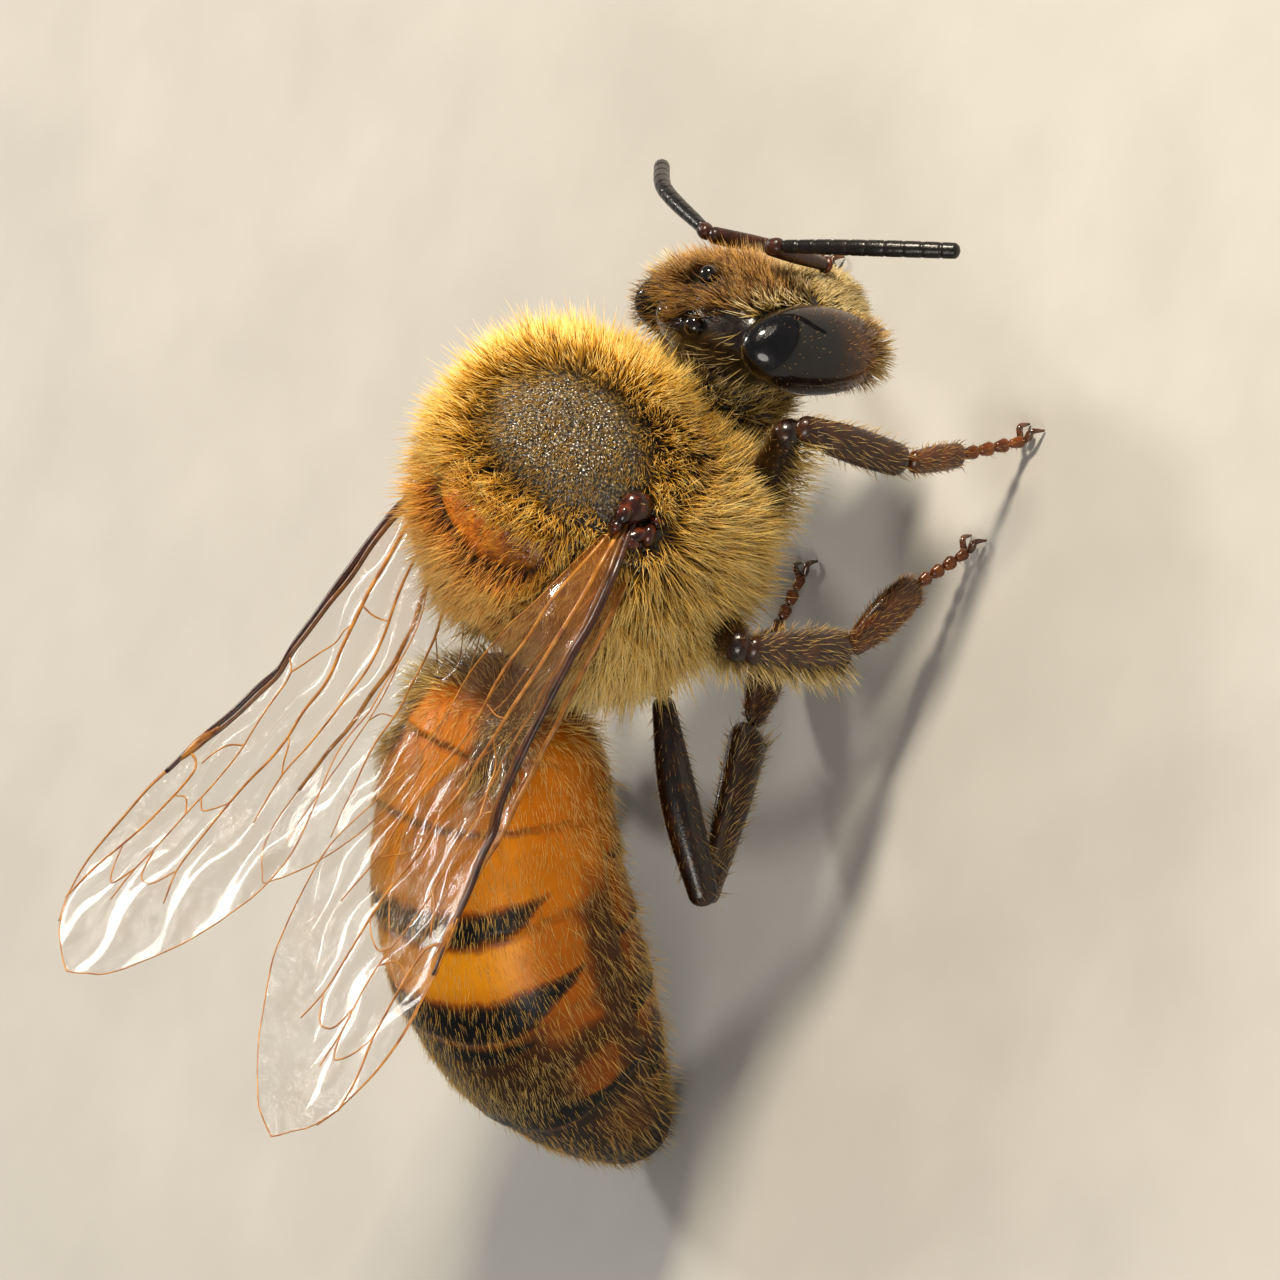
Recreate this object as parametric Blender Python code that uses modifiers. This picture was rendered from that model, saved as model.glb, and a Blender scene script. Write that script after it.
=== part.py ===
"""Honey bee (Apis mellifera), worker, life size: a still museum model standing on the floor.

Metres, +Z up.  The head points along +X and the bee's left side is +Y.  Every size below is in
millimetres.  The trunk is drawn in its own frame (origin at the middle of the thorax, X to the
head, Z to the back) and then set on the floor, pitched head down by TRUNK_PITCH.
"""
import math

import bpy
from mathutils import Matrix, Vector

MM = 0.001
GAP = 0.06              # clear space between two pieces that touch
GROUND = (1.504, -0.152) # where the middle of the thorax stands over the base centre, X and Y
RIDE_HEIGHT = 4.12      # middle of the thorax above the floor
TRUNK_PITCH = 20.0      # degrees, head down

HEAD_AT = (3.32, 0.0, 0.07)       # trunk frame
HEAD_LIFT = 34.8                 # degrees, chin forward
HEAD_ROLL = -4.3
HEAD_YAW = 9.3
EYE_HALF = (0.60, 0.50, 1.14)    # front to back, across, top to bottom
OCELLUS_RADIUS = 0.16
FEELER_RADIUS = 0.25
SCAPE_LENGTH = 1.25
FLAGELLUM_LENGTH = 2.60

THORAX_LENGTH = 5.00
ABDOMEN_LENGTH = 7.95
FOREWING_LENGTH = 9.45
HINDWING_LENGTH = 6.55
WING_THICKNESS = 0.46
CLAW_HEIGHT = -0.03


# ---------------------------------------------------------------- scene and materials
def clear_scene():
    for item in list(bpy.data.objects):
        bpy.data.objects.remove(item)


def collection(name):
    group = bpy.data.collections.new(name)
    bpy.context.scene.collection.children.link(group)
    return group


def material(name, colour, roughness, metallic=0.0):
    made = bpy.data.materials.new(name)
    made.use_nodes = True
    shader = made.node_tree.nodes["Principled BSDF"]
    shader.inputs["Base Color"].default_value = (*colour, 1.0)
    shader.inputs["Roughness"].default_value = roughness
    shader.inputs["Metallic"].default_value = metallic
    return made


# ---------------------------------------------------------------- curves and frames
def smooth(stations, place):
    """Value at a place along (place, value) stations, joined by a smooth curve."""
    if place <= stations[0][0]:
        return stations[0][1]
    for index in range(len(stations) - 1):
        (left, low), (right, high) = stations[index], stations[index + 1]
        if place > right:
            continue
        step = right - left
        before = stations[max(index - 1, 0)]
        after = stations[min(index + 2, len(stations) - 1)]
        rise_in = (high - before[1]) / (right - before[0])
        rise_out = (after[1] - low) / (after[0] - left)
        t = (place - left) / step
        return ((2 * t**3 - 3 * t**2 + 1) * low + (t**3 - 2 * t**2 + t) * step * rise_in
                + (3 * t**2 - 2 * t**3) * high + (t**3 - t**2) * step * rise_out)
    return stations[-1][1]


TRUNK = (Matrix.Translation((GROUND[0], GROUND[1], RIDE_HEIGHT))
         @ Matrix.Rotation(math.radians(TRUNK_PITCH), 4, "Y"))
HEAD = (TRUNK @ Matrix.Translation(HEAD_AT)
        @ Matrix.Rotation(math.radians(-HEAD_LIFT), 4, "Y")
        @ Matrix.Rotation(math.radians(HEAD_ROLL), 4, "X")
        @ Matrix.Rotation(math.radians(HEAD_YAW), 4, "Z"))


def floor_point(x, y, z):
    return Vector((x + GROUND[0], y + GROUND[1], z))


# ---------------------------------------------------------------- solids
def finish(thing, name, made, origin, group):
    thing.name = name
    thing.data.name = name
    for vertex in thing.data.vertices:
        vertex.co = (vertex.co - origin) * MM
    thing.location = origin * MM
    thing.data.materials.append(made)
    for owner in list(thing.users_collection):
        owner.objects.unlink(thing)
    group.objects.link(thing)
    if group is CUTTERS:
        thing.hide_render = True
        thing.display_type = "WIRE"
    else:
        thing.parent = STAND
    return thing


def loft(name, made, centre, across, above, below=None, side=(0, 1, 0), frame=TRUNK,
         segments=16, rings=12, grow=0.0, squareness=2.0, level=None, group=None):
    """A closed body round a line.  centre(s) is the line for s in 0..1; across(s), above(s) and
    below(s) are its half sizes to the side, upward and downward; both ends are round."""
    below = below or above
    side = Vector(side)
    bpy.ops.mesh.primitive_uv_sphere_add(segments=segments, ring_count=rings)
    thing = bpy.context.object
    origin = frame @ Vector(centre(0.5))
    for vertex in thing.data.vertices:
        x, y, z = vertex.co
        spread = math.hypot(x, y)
        place = math.acos(max(-1.0, min(1.0, -z))) / math.pi
        middle = Vector(centre(place))
        ahead = Vector(centre(min(place + 0.01, 1.0))) - Vector(centre(max(place - 0.01, 0.0)))
        ahead.normalize()
        to_side = (side - ahead * side.dot(ahead)).normalized()
        to_top = ahead.cross(to_side)
        if spread > 1e-6:
            cosine, sine = x / spread, y / spread
            power = 2.0 / squareness
            wide = math.copysign(abs(cosine) ** power, cosine) * (across(place) + grow)
            tall = math.copysign(abs(sine) ** power, sine)
            tall *= (above(place) if sine > 0 else below(place)) + grow
            end = math.sin(math.pi * place)
            if end < 0.02:
                wide, tall = 0.0, 0.0
        else:
            wide, tall = 0.0, 0.0
        point = middle + to_side * wide + to_top * tall
        if spread < 1e-6:
            point += ahead * (grow if place > 0.5 else -grow)
        point = frame @ point
        if level is not None:
            point.z = max(point.z, level)
        vertex.co = point
    return finish(thing, name, made, origin, group or BEE)


def tube(name, made, points, radii, flat=1.0, side=(0, 0, 1), frame=None, segments=10, rings=8,
         grow=0.0, level=None, group=None):
    """A round-ended limb through two or more points; flat narrows it across its side axis."""
    frame = frame or Matrix.Identity(4)
    spots = [Vector(point) for point in points]
    lengths = [0.0]
    for first, second in zip(spots, spots[1:]):
        lengths.append(lengths[-1] + (second - first).length)
    whole = lengths[-1]
    tables = [[(length / whole, spot[axis]) for length, spot in zip(lengths, spots)]
              for axis in range(3)]
    stations = [(index / (len(radii) - 1), radius) for index, radius in enumerate(radii)]
    cap = radii[0] / whole
    last_cap = radii[-1] / whole

    def along(place):
        return 0.5 - 0.5 * math.cos(math.pi * place)

    def centre(place):
        return [smooth(table, along(place)) for table in tables]

    def radius(place):
        run = along(place)
        value = smooth(stations, run)
        if run < cap:
            value *= math.sqrt(max(0.0, 1 - ((cap - run) / cap) ** 2))
        if run > 1 - last_cap:
            value *= math.sqrt(max(0.0, 1 - ((run - 1 + last_cap) / last_cap) ** 2))
        return value

    def thin(place):
        return radius(place) * flat

    return loft(name, made, centre, thin, radius, side=side, frame=frame, segments=segments,
                rings=rings, grow=grow, level=level, group=group)


def cut(target, cutter):
    modifier = target.modifiers.new("clear_of_" + cutter.name, "BOOLEAN")
    modifier.operation = "DIFFERENCE"
    modifier.solver = "EXACT"
    modifier.object = cutter


# ---------------------------------------------------------------- head
HEAD_CHIN, HEAD_CROWN = -1.40, 1.70
HEAD_WIDTH = [(-1.40, 0.0), (-1.24, 0.52), (-0.9, 0.95), (-0.4, 1.42), (0.3, 1.66), (0.9, 1.55),
              (1.38, 1.12), (1.70, 0.0)]
HEAD_FRONT = [(-1.40, 0.30), (-1.15, 0.74), (-0.7, 1.02), (0.0, 1.22), (0.7, 1.30), (1.3, 1.05),
              (1.70, 0.20)]
HEAD_BACK = [(-1.40, 0.10), (-0.9, 0.42), (0.0, 0.62), (0.9, 0.66), (1.70, 0.10)]


def head_height(place):
    middle, half = (HEAD_CROWN + HEAD_CHIN) / 2, (HEAD_CROWN - HEAD_CHIN) / 2
    return middle - half * math.cos(math.pi * place)


def build_head(made, grow=0.0, name="head", group=None):
    def centre(place):
        return (0.0, 0.0, head_height(place))

    def across(place):
        return smooth(HEAD_WIDTH, head_height(place))

    def front(place):
        return smooth(HEAD_FRONT, head_height(place)) * end_round(place)

    def back(place):
        return smooth(HEAD_BACK, head_height(place)) * end_round(place)

    def end_round(place):
        return min(1.0, 2.2 * math.sin(math.pi * place)) ** 0.7

    return loft(name, made, centre, across, back, front, side=(0, 1, 0), frame=HEAD,
                segments=24, rings=16, grow=grow, group=group)


def ellipsoid(name, made, at, half, turn, frame, segments, rings, grow=0.0, group=None):
    bpy.ops.mesh.primitive_uv_sphere_add(segments=segments, ring_count=rings)
    thing = bpy.context.object
    place = frame @ Matrix.Translation(at) @ turn
    size = Vector(half) + Vector((grow, grow, grow))
    for vertex in thing.data.vertices:
        vertex.co = place @ Vector((vertex.co.x * size.x, vertex.co.y * size.y,
                                    vertex.co.z * size.z))
    return finish(thing, name, made, place.translation.copy(), group or BEE)


def build_eyes(head, made):
    for hand, sign in (("left", 1), ("right", -1)):
        turn = (Matrix.Rotation(math.radians(-7 * sign), 4, "X")
                @ Matrix.Rotation(math.radians(-14 * sign), 4, "Z"))
        at = (0.06, 1.36 * sign, 0.16)
        ellipsoid("eye_" + hand, made, at, EYE_HALF, turn, HEAD, 16, 10)
        socket = ellipsoid("socket_" + hand, made, at, EYE_HALF, turn, HEAD, 16, 10, GAP, CUTTERS)
        cut(head, socket)
        cut(bpy.data.objects["thorax"], socket)
    for name, at, out in (("middle", (0.72, 0.0, 1.10), (0.80, 0.0, 0.60)),
                          ("left", (0.11, 0.38, 1.43), (0.04, 0.24, 0.97)),
                          ("right", (0.11, -0.38, 1.43), (0.04, -0.24, 0.97))):
        half = (OCELLUS_RADIUS,) * 3
        ellipsoid("ocellus_" + name, made, at, half, Matrix.Identity(4), HEAD, 10, 7)
        at, out = Vector(at), Vector(out)
        well = tube("well_" + name, made, (at - out * OCELLUS_RADIUS, at + out * 0.80), half[:2],
                    frame=HEAD, segments=8, rings=6, grow=GAP, group=CUTTERS)
        cut(head, well)


def build_feelers(head, scape_made, flagellum_made):
    reach = {"left": ((0.10, 0.40, 1.23), (0.45, 2.52, -0.45)),
             "right": ((0.28, -0.38, 1.19), (0.47, -2.00, -1.59))}
    for hand, sign in (("left", 1), ("right", -1)):
        up, out = (Vector(way).normalized() for way in reach[hand])
        root = Vector((1.04, 0.40 * sign, -0.42))
        elbow = root + up * SCAPE_LENGTH
        tip = elbow + out * FLAGELLUM_LENGTH
        droop = Vector((0.0, 0.0, -0.14))
        middle = elbow + out * FLAGELLUM_LENGTH * 0.55 + droop * -0.4
        radii = [FEELER_RADIUS * 0.98, FEELER_RADIUS, FEELER_RADIUS]
        tube("scape_" + hand, scape_made, (root, elbow), radii, frame=HEAD, rings=8)
        groove = tube("groove_" + hand, scape_made, (root, elbow), radii, frame=HEAD, rings=8,
                      grow=GAP, group=CUTTERS)
        cut(head, groove)
        whip = (elbow + out * 0.05, middle, tip + droop)
        flagellum = tube("flagellum_" + hand, flagellum_made, whip, radii, frame=HEAD, rings=14)
        cut(flagellum, groove)
        cut(head, tube("whip_room_" + hand, flagellum_made, whip, radii, frame=HEAD, segments=8,
                       rings=8, grow=GAP, group=CUTTERS))


def build_mouth(made, head_cutter):
    for hand, sign in (("left", 1), ("right", -1)):
        tube("mandible_" + hand, made,
             ((0.12, 0.58 * sign, -0.96), (0.17, 0.50 * sign, -1.26), (0.18, 0.33 * sign, -1.46)),
             (0.25, 0.25, 0.22), frame=HEAD, rings=8)
        cut(bpy.data.objects["mandible_" + hand], head_cutter)
    fold = ((-0.20, 0.0, -1.20), (-0.62, 0.0, -0.90), (-0.80, 0.0, -0.10))
    tongue = tube("proboscis", made, fold, (0.27, 0.26, 0.25), frame=HEAD, rings=8)
    cut(tongue, head_cutter)
    return tube("room_proboscis", made, fold, (0.27, 0.26, 0.25), frame=HEAD, rings=8, grow=GAP,
                group=CUTTERS)


# ---------------------------------------------------------------- trunk
THORAX_WIDTH = [(0.0, 0.0), (0.04, 1.00), (0.12, 1.75), (0.25, 2.30), (0.45, 2.62), (0.62, 2.62),
                (0.78, 2.36), (0.90, 1.88), (0.97, 1.20), (1.0, 0.0)]
THORAX_TOP = [(0.0, 0.0), (0.04, 1.15), (0.12, 2.05), (0.22, 2.64), (0.40, 3.02), (0.62, 3.06),
              (0.78, 2.76), (0.90, 2.12), (0.97, 1.30), (1.0, 0.0)]
THORAX_BOTTOM = [(0.0, 0.0), (0.04, 0.80), (0.12, 1.38), (0.30, 1.88), (0.55, 2.06), (0.78, 1.90),
                 (0.92, 1.36), (0.97, 0.90), (1.0, 0.0)]


def build_thorax(made, grow=0.0, name="thorax", group=None):
    def along(place):
        return 0.5 - 0.5 * math.cos(math.pi * place)

    def centre(place):
        run = along(place)
        return (-THORAX_LENGTH * (0.535 - run), 0.0, -0.05 + 0.06 * run)

    def across(place):
        return smooth(THORAX_WIDTH, along(place))

    def above(place):
        return smooth(THORAX_TOP, along(place))

    def below(place):
        return smooth(THORAX_BOTTOM, along(place))

    return loft(name, made, centre, across, above, below, segments=24, rings=16, grow=grow,
                group=group)


ABDOMEN_ROOT = Vector((-1.95, 0.0, -0.50))
ABDOMEN_DROOP = [(0.0, 20.0), (0.3, 40.5), (0.6, 66.0), (0.85, 87.0), (1.0, 95.0)]
ABDOMEN_SWING = [(0.0, 1.0), (0.3, 17.0), (0.6, 15.0), (1.0, 0.0)]   # degrees to the bee's right
ABDOMEN_WIDTH = [(0.0, 0.0), (0.03, 0.70), (0.10, 1.35), (0.22, 1.74), (0.40, 1.93), (0.55, 1.98),
                 (0.70, 1.78), (0.82, 1.36), (0.92, 0.86), (0.97, 0.52), (1.0, 0.0)]
ABDOMEN_TOP = [(0.0, 0.0), (0.03, 0.60), (0.10, 1.20), (0.22, 1.58), (0.40, 1.78), (0.55, 1.78),
               (0.70, 1.52), (0.82, 1.14), (0.92, 0.72), (0.97, 0.44), (1.0, 0.0)]
ABDOMEN_BOTTOM = [(0.0, 0.0), (0.03, 0.60), (0.10, 1.12), (0.22, 1.46), (0.40, 1.62), (0.55, 1.66),
                  (0.70, 1.50), (0.82, 1.18), (0.92, 0.78), (0.97, 0.48), (1.0, 0.0)]


def abdomen_line(run):
    """Middle line of the abdomen, stepped along its droop."""
    point = ABDOMEN_ROOT.copy()
    steps = max(1, int(run * 60))
    for index in range(steps):
        here = (index + 0.5) / steps * run
        droop = math.radians(smooth(ABDOMEN_DROOP, here))
        swing = math.radians(smooth(ABDOMEN_SWING, here))
        way = Vector((-math.cos(droop) * math.cos(swing), -math.sin(swing),
                      -math.sin(droop) * math.cos(swing)))
        point += way * ABDOMEN_LENGTH * run / steps
    return point


def build_abdomen(made, grow=0.0, name="abdomen", group=None):
    def along(place):
        return 0.5 - 0.5 * math.cos(math.pi * place)

    def centre(place):
        return abdomen_line(along(place))

    def across(place):
        return smooth(ABDOMEN_WIDTH, along(place))

    def above(place):
        return smooth(ABDOMEN_TOP, along(place))

    def below(place):
        return smooth(ABDOMEN_BOTTOM, along(place))

    return loft(name, made, centre, across, below, above, segments=24, rings=20, grow=grow,
                level=0.0, group=group)


def build_neck(made):
    return tube("neck", made, ((1.85, 0.0, -0.05), (3.10, 0.0, 0.05)), (1.05, 1.05, 0.95),
                frame=TRUNK, segments=14, rings=10, side=(0, 1, 0))


# ---------------------------------------------------------------- legs
LEGS = {  # coxa, knee, shin end, heel end, claw; from below the middle of the thorax
    "fore_right": ((0.62, -0.85, 2.46), (2.46, -2.10, 3.76), (2.55, -2.44, 1.98),
                   (2.88, -2.28, 1.04), (3.34, -2.22, CLAW_HEIGHT)),
    "mid_right": ((-0.55, -0.88, 2.64), (-0.44, -2.97, 3.53), (-0.11, -2.56, 1.57),
                  (1.03, -2.30, 0.76), (1.66, -2.17, CLAW_HEIGHT)),
    "hind_right": ((-1.70, -1.07, 2.96), (-4.02, -2.55, 1.80), (-1.95, -0.62, 0.86),
                   (-0.83, 0.31, 0.46), (0.02, 0.76, CLAW_HEIGHT)),
    "fore_left": ((0.75, 0.85, 2.45), (1.80, 2.50, 2.75), (2.62, 3.15, 1.50),
                  (3.05, 3.10, 0.66), (3.70, 3.20, CLAW_HEIGHT)),
    "mid_left": ((-0.35, 0.95, 2.45), (-0.30, 2.80, 3.20), (0.05, 3.45, 1.40),
                 (0.55, 3.75, 0.55), (1.20, 4.00, CLAW_HEIGHT)),
    "hind_left": ((-1.35, 1.00, 2.65), (-3.10, 2.60, 2.70), (-3.90, 3.10, 0.95),
                  (-4.55, 3.35, 0.45), (-5.45, 3.65, CLAW_HEIGHT)),
}
FEMUR_RADII = {"fore": (0.30, 0.36, 0.29), "mid": (0.32, 0.36, 0.30), "hind": (0.33, 0.40, 0.33)}
TIBIA_RADII = {"fore": (0.27, 0.33, 0.28), "mid": (0.30, 0.40, 0.36), "hind": (0.33, 0.50, 0.52)}
TARSUS_RADII = {"fore": (0.27, 0.26, 0.25), "mid": (0.36, 0.29, 0.25), "hind": (0.48, 0.36, 0.25)}
SHIN_FLATTEN = {"fore": 0.85, "mid": 0.80, "hind": 0.66}


def build_leg(name, made, trunk_cutter):
    kind, hand = name.split("_")
    coxa, knee, ankle, heel, claw = (floor_point(*point) for point in LEGS[name])
    outward = (0, 1 if hand == "left" else -1, 0)
    flatten = SHIN_FLATTEN[kind]
    middle = (coxa + knee) / 2 + Vector((0, 0, 0.10))
    femur = tube("femur_" + name, made, (coxa, middle, knee), FEMUR_RADII[kind], flat=0.92,
                 side=outward)
    knee_room = tube("room_femur_" + name, made, (coxa, middle, knee), FEMUR_RADII[kind],
                     flat=0.92, side=outward, grow=GAP, group=CUTTERS)
    cut(femur, trunk_cutter)
    shin = (knee + (ankle - knee) * 0.10, ankle)
    tibia = tube("tibia_" + name, made, shin, TIBIA_RADII[kind], flat=flatten, side=outward)
    shin_room = tube("room_tibia_" + name, made, shin, TIBIA_RADII[kind], flat=flatten,
                     side=outward, grow=GAP, group=CUTTERS)
    cut(tibia, knee_room)
    foot = (ankle + (heel - ankle) * 0.12, heel, claw)
    tarsus = tube("tarsus_" + name, made, foot, TARSUS_RADII[kind], flat=0.9, side=outward,
                  rings=12, level=0.0)
    cut(tarsus, shin_room)


# ---------------------------------------------------------------- wings
FORE_LEAD = [(0.0, -0.10), (0.15, -0.30), (0.30, -0.45), (0.47, -0.62), (0.62, -0.86),
             (0.74, -1.02), (0.85, -0.96), (0.94, -0.60), (1.0, 0.05)]
FORE_TRAIL = [(0.0, 0.12), (0.06, 0.32), (0.19, 0.86), (0.29, 1.36), (0.40, 1.44), (0.50, 1.62),
              (0.60, 2.08), (0.67, 2.22), (0.76, 2.12), (0.86, 1.62), (0.94, 0.98), (1.0, 0.20)]
HIND_LEAD = [(0.0, -0.08), (0.2, -0.12), (0.5, -0.10), (0.8, -0.12), (0.93, -0.05), (1.0, 0.28)]
HIND_TRAIL = [(0.0, 0.12), (0.10, 0.62), (0.22, 1.16), (0.34, 1.34), (0.46, 1.50), (0.62, 1.68),
              (0.80, 1.42), (0.92, 0.92), (1.0, 0.42)]
WINGS = {  # root, tip direction (trunk frame), length, edges, plate bottom and top, root twist
    "forewing_right": ((0.20, -1.45, 1.00), (-0.974, -0.180, -0.130), FOREWING_LENGTH,
                       FORE_LEAD, FORE_TRAIL, -0.23, 24.0),
    "forewing_left": ((0.20, 1.45, 1.00), (-0.995, 0.060, -0.055), FOREWING_LENGTH,
                      FORE_LEAD, FORE_TRAIL, -0.23, 24.0),
    "hindwing_right": ((-0.25, -1.42, 0.88), (-0.968, -0.230, -0.135), HINDWING_LENGTH,
                       HIND_LEAD, HIND_TRAIL, -0.76, 20.0),
    "hindwing_left": ((-0.25, 1.42, 0.84), (-0.990, -0.054, -0.100), HINDWING_LENGTH,
                      HIND_LEAD, HIND_TRAIL, -0.76, 20.0),
}
WING_SPAN_STEPS = 15


def build_wing(name, made):
    root, way, length, lead, trail, bottom, twist = WINGS[name]
    hand = 1 if name.endswith("left") else -1
    way = Vector(way).normalized()
    inward = Vector((0, -hand, 0))
    inward = (inward - way * inward.dot(way)).normalized()
    normal = way.cross(inward) * hand
    bpy.ops.mesh.primitive_grid_add(x_subdivisions=WING_SPAN_STEPS, y_subdivisions=3, size=2)
    thing = bpy.context.object
    for vertex in thing.data.vertices:
        run = (vertex.co.x + 1) / 2
        run = 1 - (1 - run) ** 1.35
        share = (vertex.co.y + 1) / 2
        roll = math.radians(twist) * max(0.0, 1 - run / 0.4) ** 2
        across = inward * math.cos(roll) + normal * math.sin(roll)
        chord = smooth(lead, run) + (smooth(trail, run) - smooth(lead, run)) * share
        point = Vector(root) + way * run * length + across * chord
        vertex.co = TRUNK @ (point + normal * bottom)
    thick = thing.modifiers.new("thickness", "SOLIDIFY")
    origin = TRUNK @ Vector(root)
    finish(thing, name, made, origin, BEE)
    thick.thickness = WING_THICKNESS * MM
    thick.offset = 1.0 if (TRUNK.to_3x3() @ normal).dot(thing.data.polygons[0].normal) > 0 else -1.0
    return thing


# ---------------------------------------------------------------- assembly
clear_scene()
BEE = collection("honey_bee")
CUTTERS = collection("cutters")
STAND = bpy.data.objects.new("bee_stand", None)
STAND.empty_display_size = 0.002
BEE.objects.link(STAND)

fur_head = material("head_fur", (0.20, 0.11, 0.035), 0.70)
fur_thorax = material("thorax_fur", (0.36, 0.22, 0.06), 0.75)
shell_abdomen = material("abdomen_shell", (0.45, 0.17, 0.025), 0.42)
shell_leg = material("leg_shell", (0.035, 0.015, 0.008), 0.38)
shell_feeler = material("feeler_shell", (0.022, 0.012, 0.010), 0.32)
eye_glass = material("eye_surface", (0.012, 0.007, 0.006), 0.12)
mouth_shell = material("mouth_shell", (0.16, 0.055, 0.018), 0.35)
membrane = material("wing_membrane", (0.42, 0.33, 0.25), 0.20)

head_solid = build_head(fur_head)
head_room = build_head(fur_head, GAP, "room_head", CUTTERS)
thorax_room = build_thorax(fur_thorax, GAP, "room_thorax", CUTTERS)
abdomen_room = build_abdomen(shell_abdomen, GAP, "room_abdomen", CUTTERS)
thorax_solid = build_thorax(fur_thorax)
cut(thorax_solid, head_room)
build_eyes(head_solid, eye_glass)
build_feelers(head_solid, shell_feeler, shell_feeler)
tongue_room = build_mouth(mouth_shell, head_room)
cut(thorax_solid, tongue_room)

abdomen_solid = build_abdomen(shell_abdomen)
cut(abdomen_solid, thorax_room)
neck_solid = build_neck(fur_thorax)
cut(neck_solid, head_room)
cut(neck_solid, thorax_room)
cut(neck_solid, tongue_room)

for leg_name in LEGS:
    build_leg(leg_name, shell_leg, thorax_room)
for wing_name in WINGS:
    wing = build_wing(wing_name, membrane)
    cut(wing, thorax_room)
    cut(wing, abdomen_room)
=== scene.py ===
"""Honey bee (Apis mellifera), worker, life size: a still museum model standing on the floor.

Sizes are in millimetres until a mesh is finished, then metres, +Z up.  The head points along +X
and the bee's left side is +Y.  Each part of the body is drawn on a hull: run goes from 0 to 1
along its middle line, and turn is in degrees round it.
"""
import math

import bpy
import numpy as np
from mathutils import Matrix
from mathutils.kdtree import KDTree


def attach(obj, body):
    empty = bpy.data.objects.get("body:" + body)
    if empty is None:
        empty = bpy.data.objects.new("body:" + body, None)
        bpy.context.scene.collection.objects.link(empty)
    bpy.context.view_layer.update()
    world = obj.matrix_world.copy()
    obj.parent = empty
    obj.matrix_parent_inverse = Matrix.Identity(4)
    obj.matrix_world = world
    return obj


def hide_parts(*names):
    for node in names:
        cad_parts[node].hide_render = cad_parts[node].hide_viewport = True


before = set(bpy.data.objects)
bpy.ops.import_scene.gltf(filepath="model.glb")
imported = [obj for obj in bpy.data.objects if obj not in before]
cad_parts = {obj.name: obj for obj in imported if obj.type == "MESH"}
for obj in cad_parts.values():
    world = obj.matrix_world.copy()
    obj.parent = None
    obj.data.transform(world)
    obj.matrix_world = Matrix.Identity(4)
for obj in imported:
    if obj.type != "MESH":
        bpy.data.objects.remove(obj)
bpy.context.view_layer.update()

MM = 0.001
chance = np.random.default_rng(2718)

GROUND = (1.504, -0.152)      # where the middle of the thorax stands, X and Y
RIDE_HEIGHT = 4.12
TRUNK = (Matrix.Translation((GROUND[0], GROUND[1], RIDE_HEIGHT))
         @ Matrix.Rotation(math.radians(20.0), 4, "Y"))
HEAD = (TRUNK @ Matrix.Translation((3.32, 0.0, 0.07))
        @ Matrix.Rotation(math.radians(-34.8), 4, "Y")
        @ Matrix.Rotation(math.radians(-4.3), 4, "X")
        @ Matrix.Rotation(math.radians(9.3), 4, "Z"))


# ---------------------------------------------------------------- curves
def smooth(stations, place):
    """Values at places along (place, value) stations, joined by a smooth curve."""
    table = np.asarray(stations, float)
    xs, ys = table[:, 0], table[:, 1]
    place = np.clip(np.asarray(place, float), xs[0], xs[-1])
    left = np.clip(np.searchsorted(xs, place) - 1, 0, len(xs) - 2)
    before, after = np.maximum(left - 1, 0), np.minimum(left + 2, len(xs) - 1)
    step = xs[left + 1] - xs[left]
    rise_in = (ys[left + 1] - ys[before]) / (xs[left + 1] - xs[before])
    rise_out = (ys[after] - ys[left]) / (xs[after] - xs[left])
    t = (place - xs[left]) / step
    return ((2 * t**3 - 3 * t**2 + 1) * ys[left] + (t**3 - 2 * t**2 + t) * step * rise_in
            + (3 * t**2 - 2 * t**3) * ys[left + 1] + (t**3 - t**2) * step * rise_out)


def ease(value, start, end):
    """0 before start, 1 after end, and a smooth rise between."""
    t = np.clip((value - start) / (end - start), 0.0, 1.0)
    return t * t * (3 - 2 * t)


def fade(value, start, end):
    """1 before start, 0 after end, and a smooth fall between."""
    return 1 - ease(value, start, end)


def hump(value, middle, half):
    """1 at the middle, falling smoothly to 0 at half either side."""
    return 1.0 - ease(np.abs(value - middle), 0.0, half)


def unit(vectors):
    return vectors / np.maximum(np.linalg.norm(vectors, axis=-1, keepdims=True), 1e-12)


def placed(matrix, points):
    grid = np.array(matrix)
    return points @ grid[:3, :3].T + grid[:3, 3]


def sized(*tables):
    """For each table of stations, the function that reads it."""
    return [lambda place, table=table: smooth(table, place) for table in tables]


def wander(points, size, seed):
    """A smooth wandering vector field, about -1 to 1, whose swells are about size mm long."""
    waves = np.random.default_rng(seed)
    total = np.zeros_like(points)
    for octave in range(4):
        way = waves.normal(size=(3, 3)) * (2 * math.pi / size) * (0.5 + 0.35 * octave)
        phase = waves.uniform(0, 2 * math.pi, 3)
        total += np.sin(points @ way + phase)
    return total / 2.4


# ---------------------------------------------------------------- hulls
ALL_ROUND = (-180.0, 180.0)     # turns from belly to belly


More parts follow.
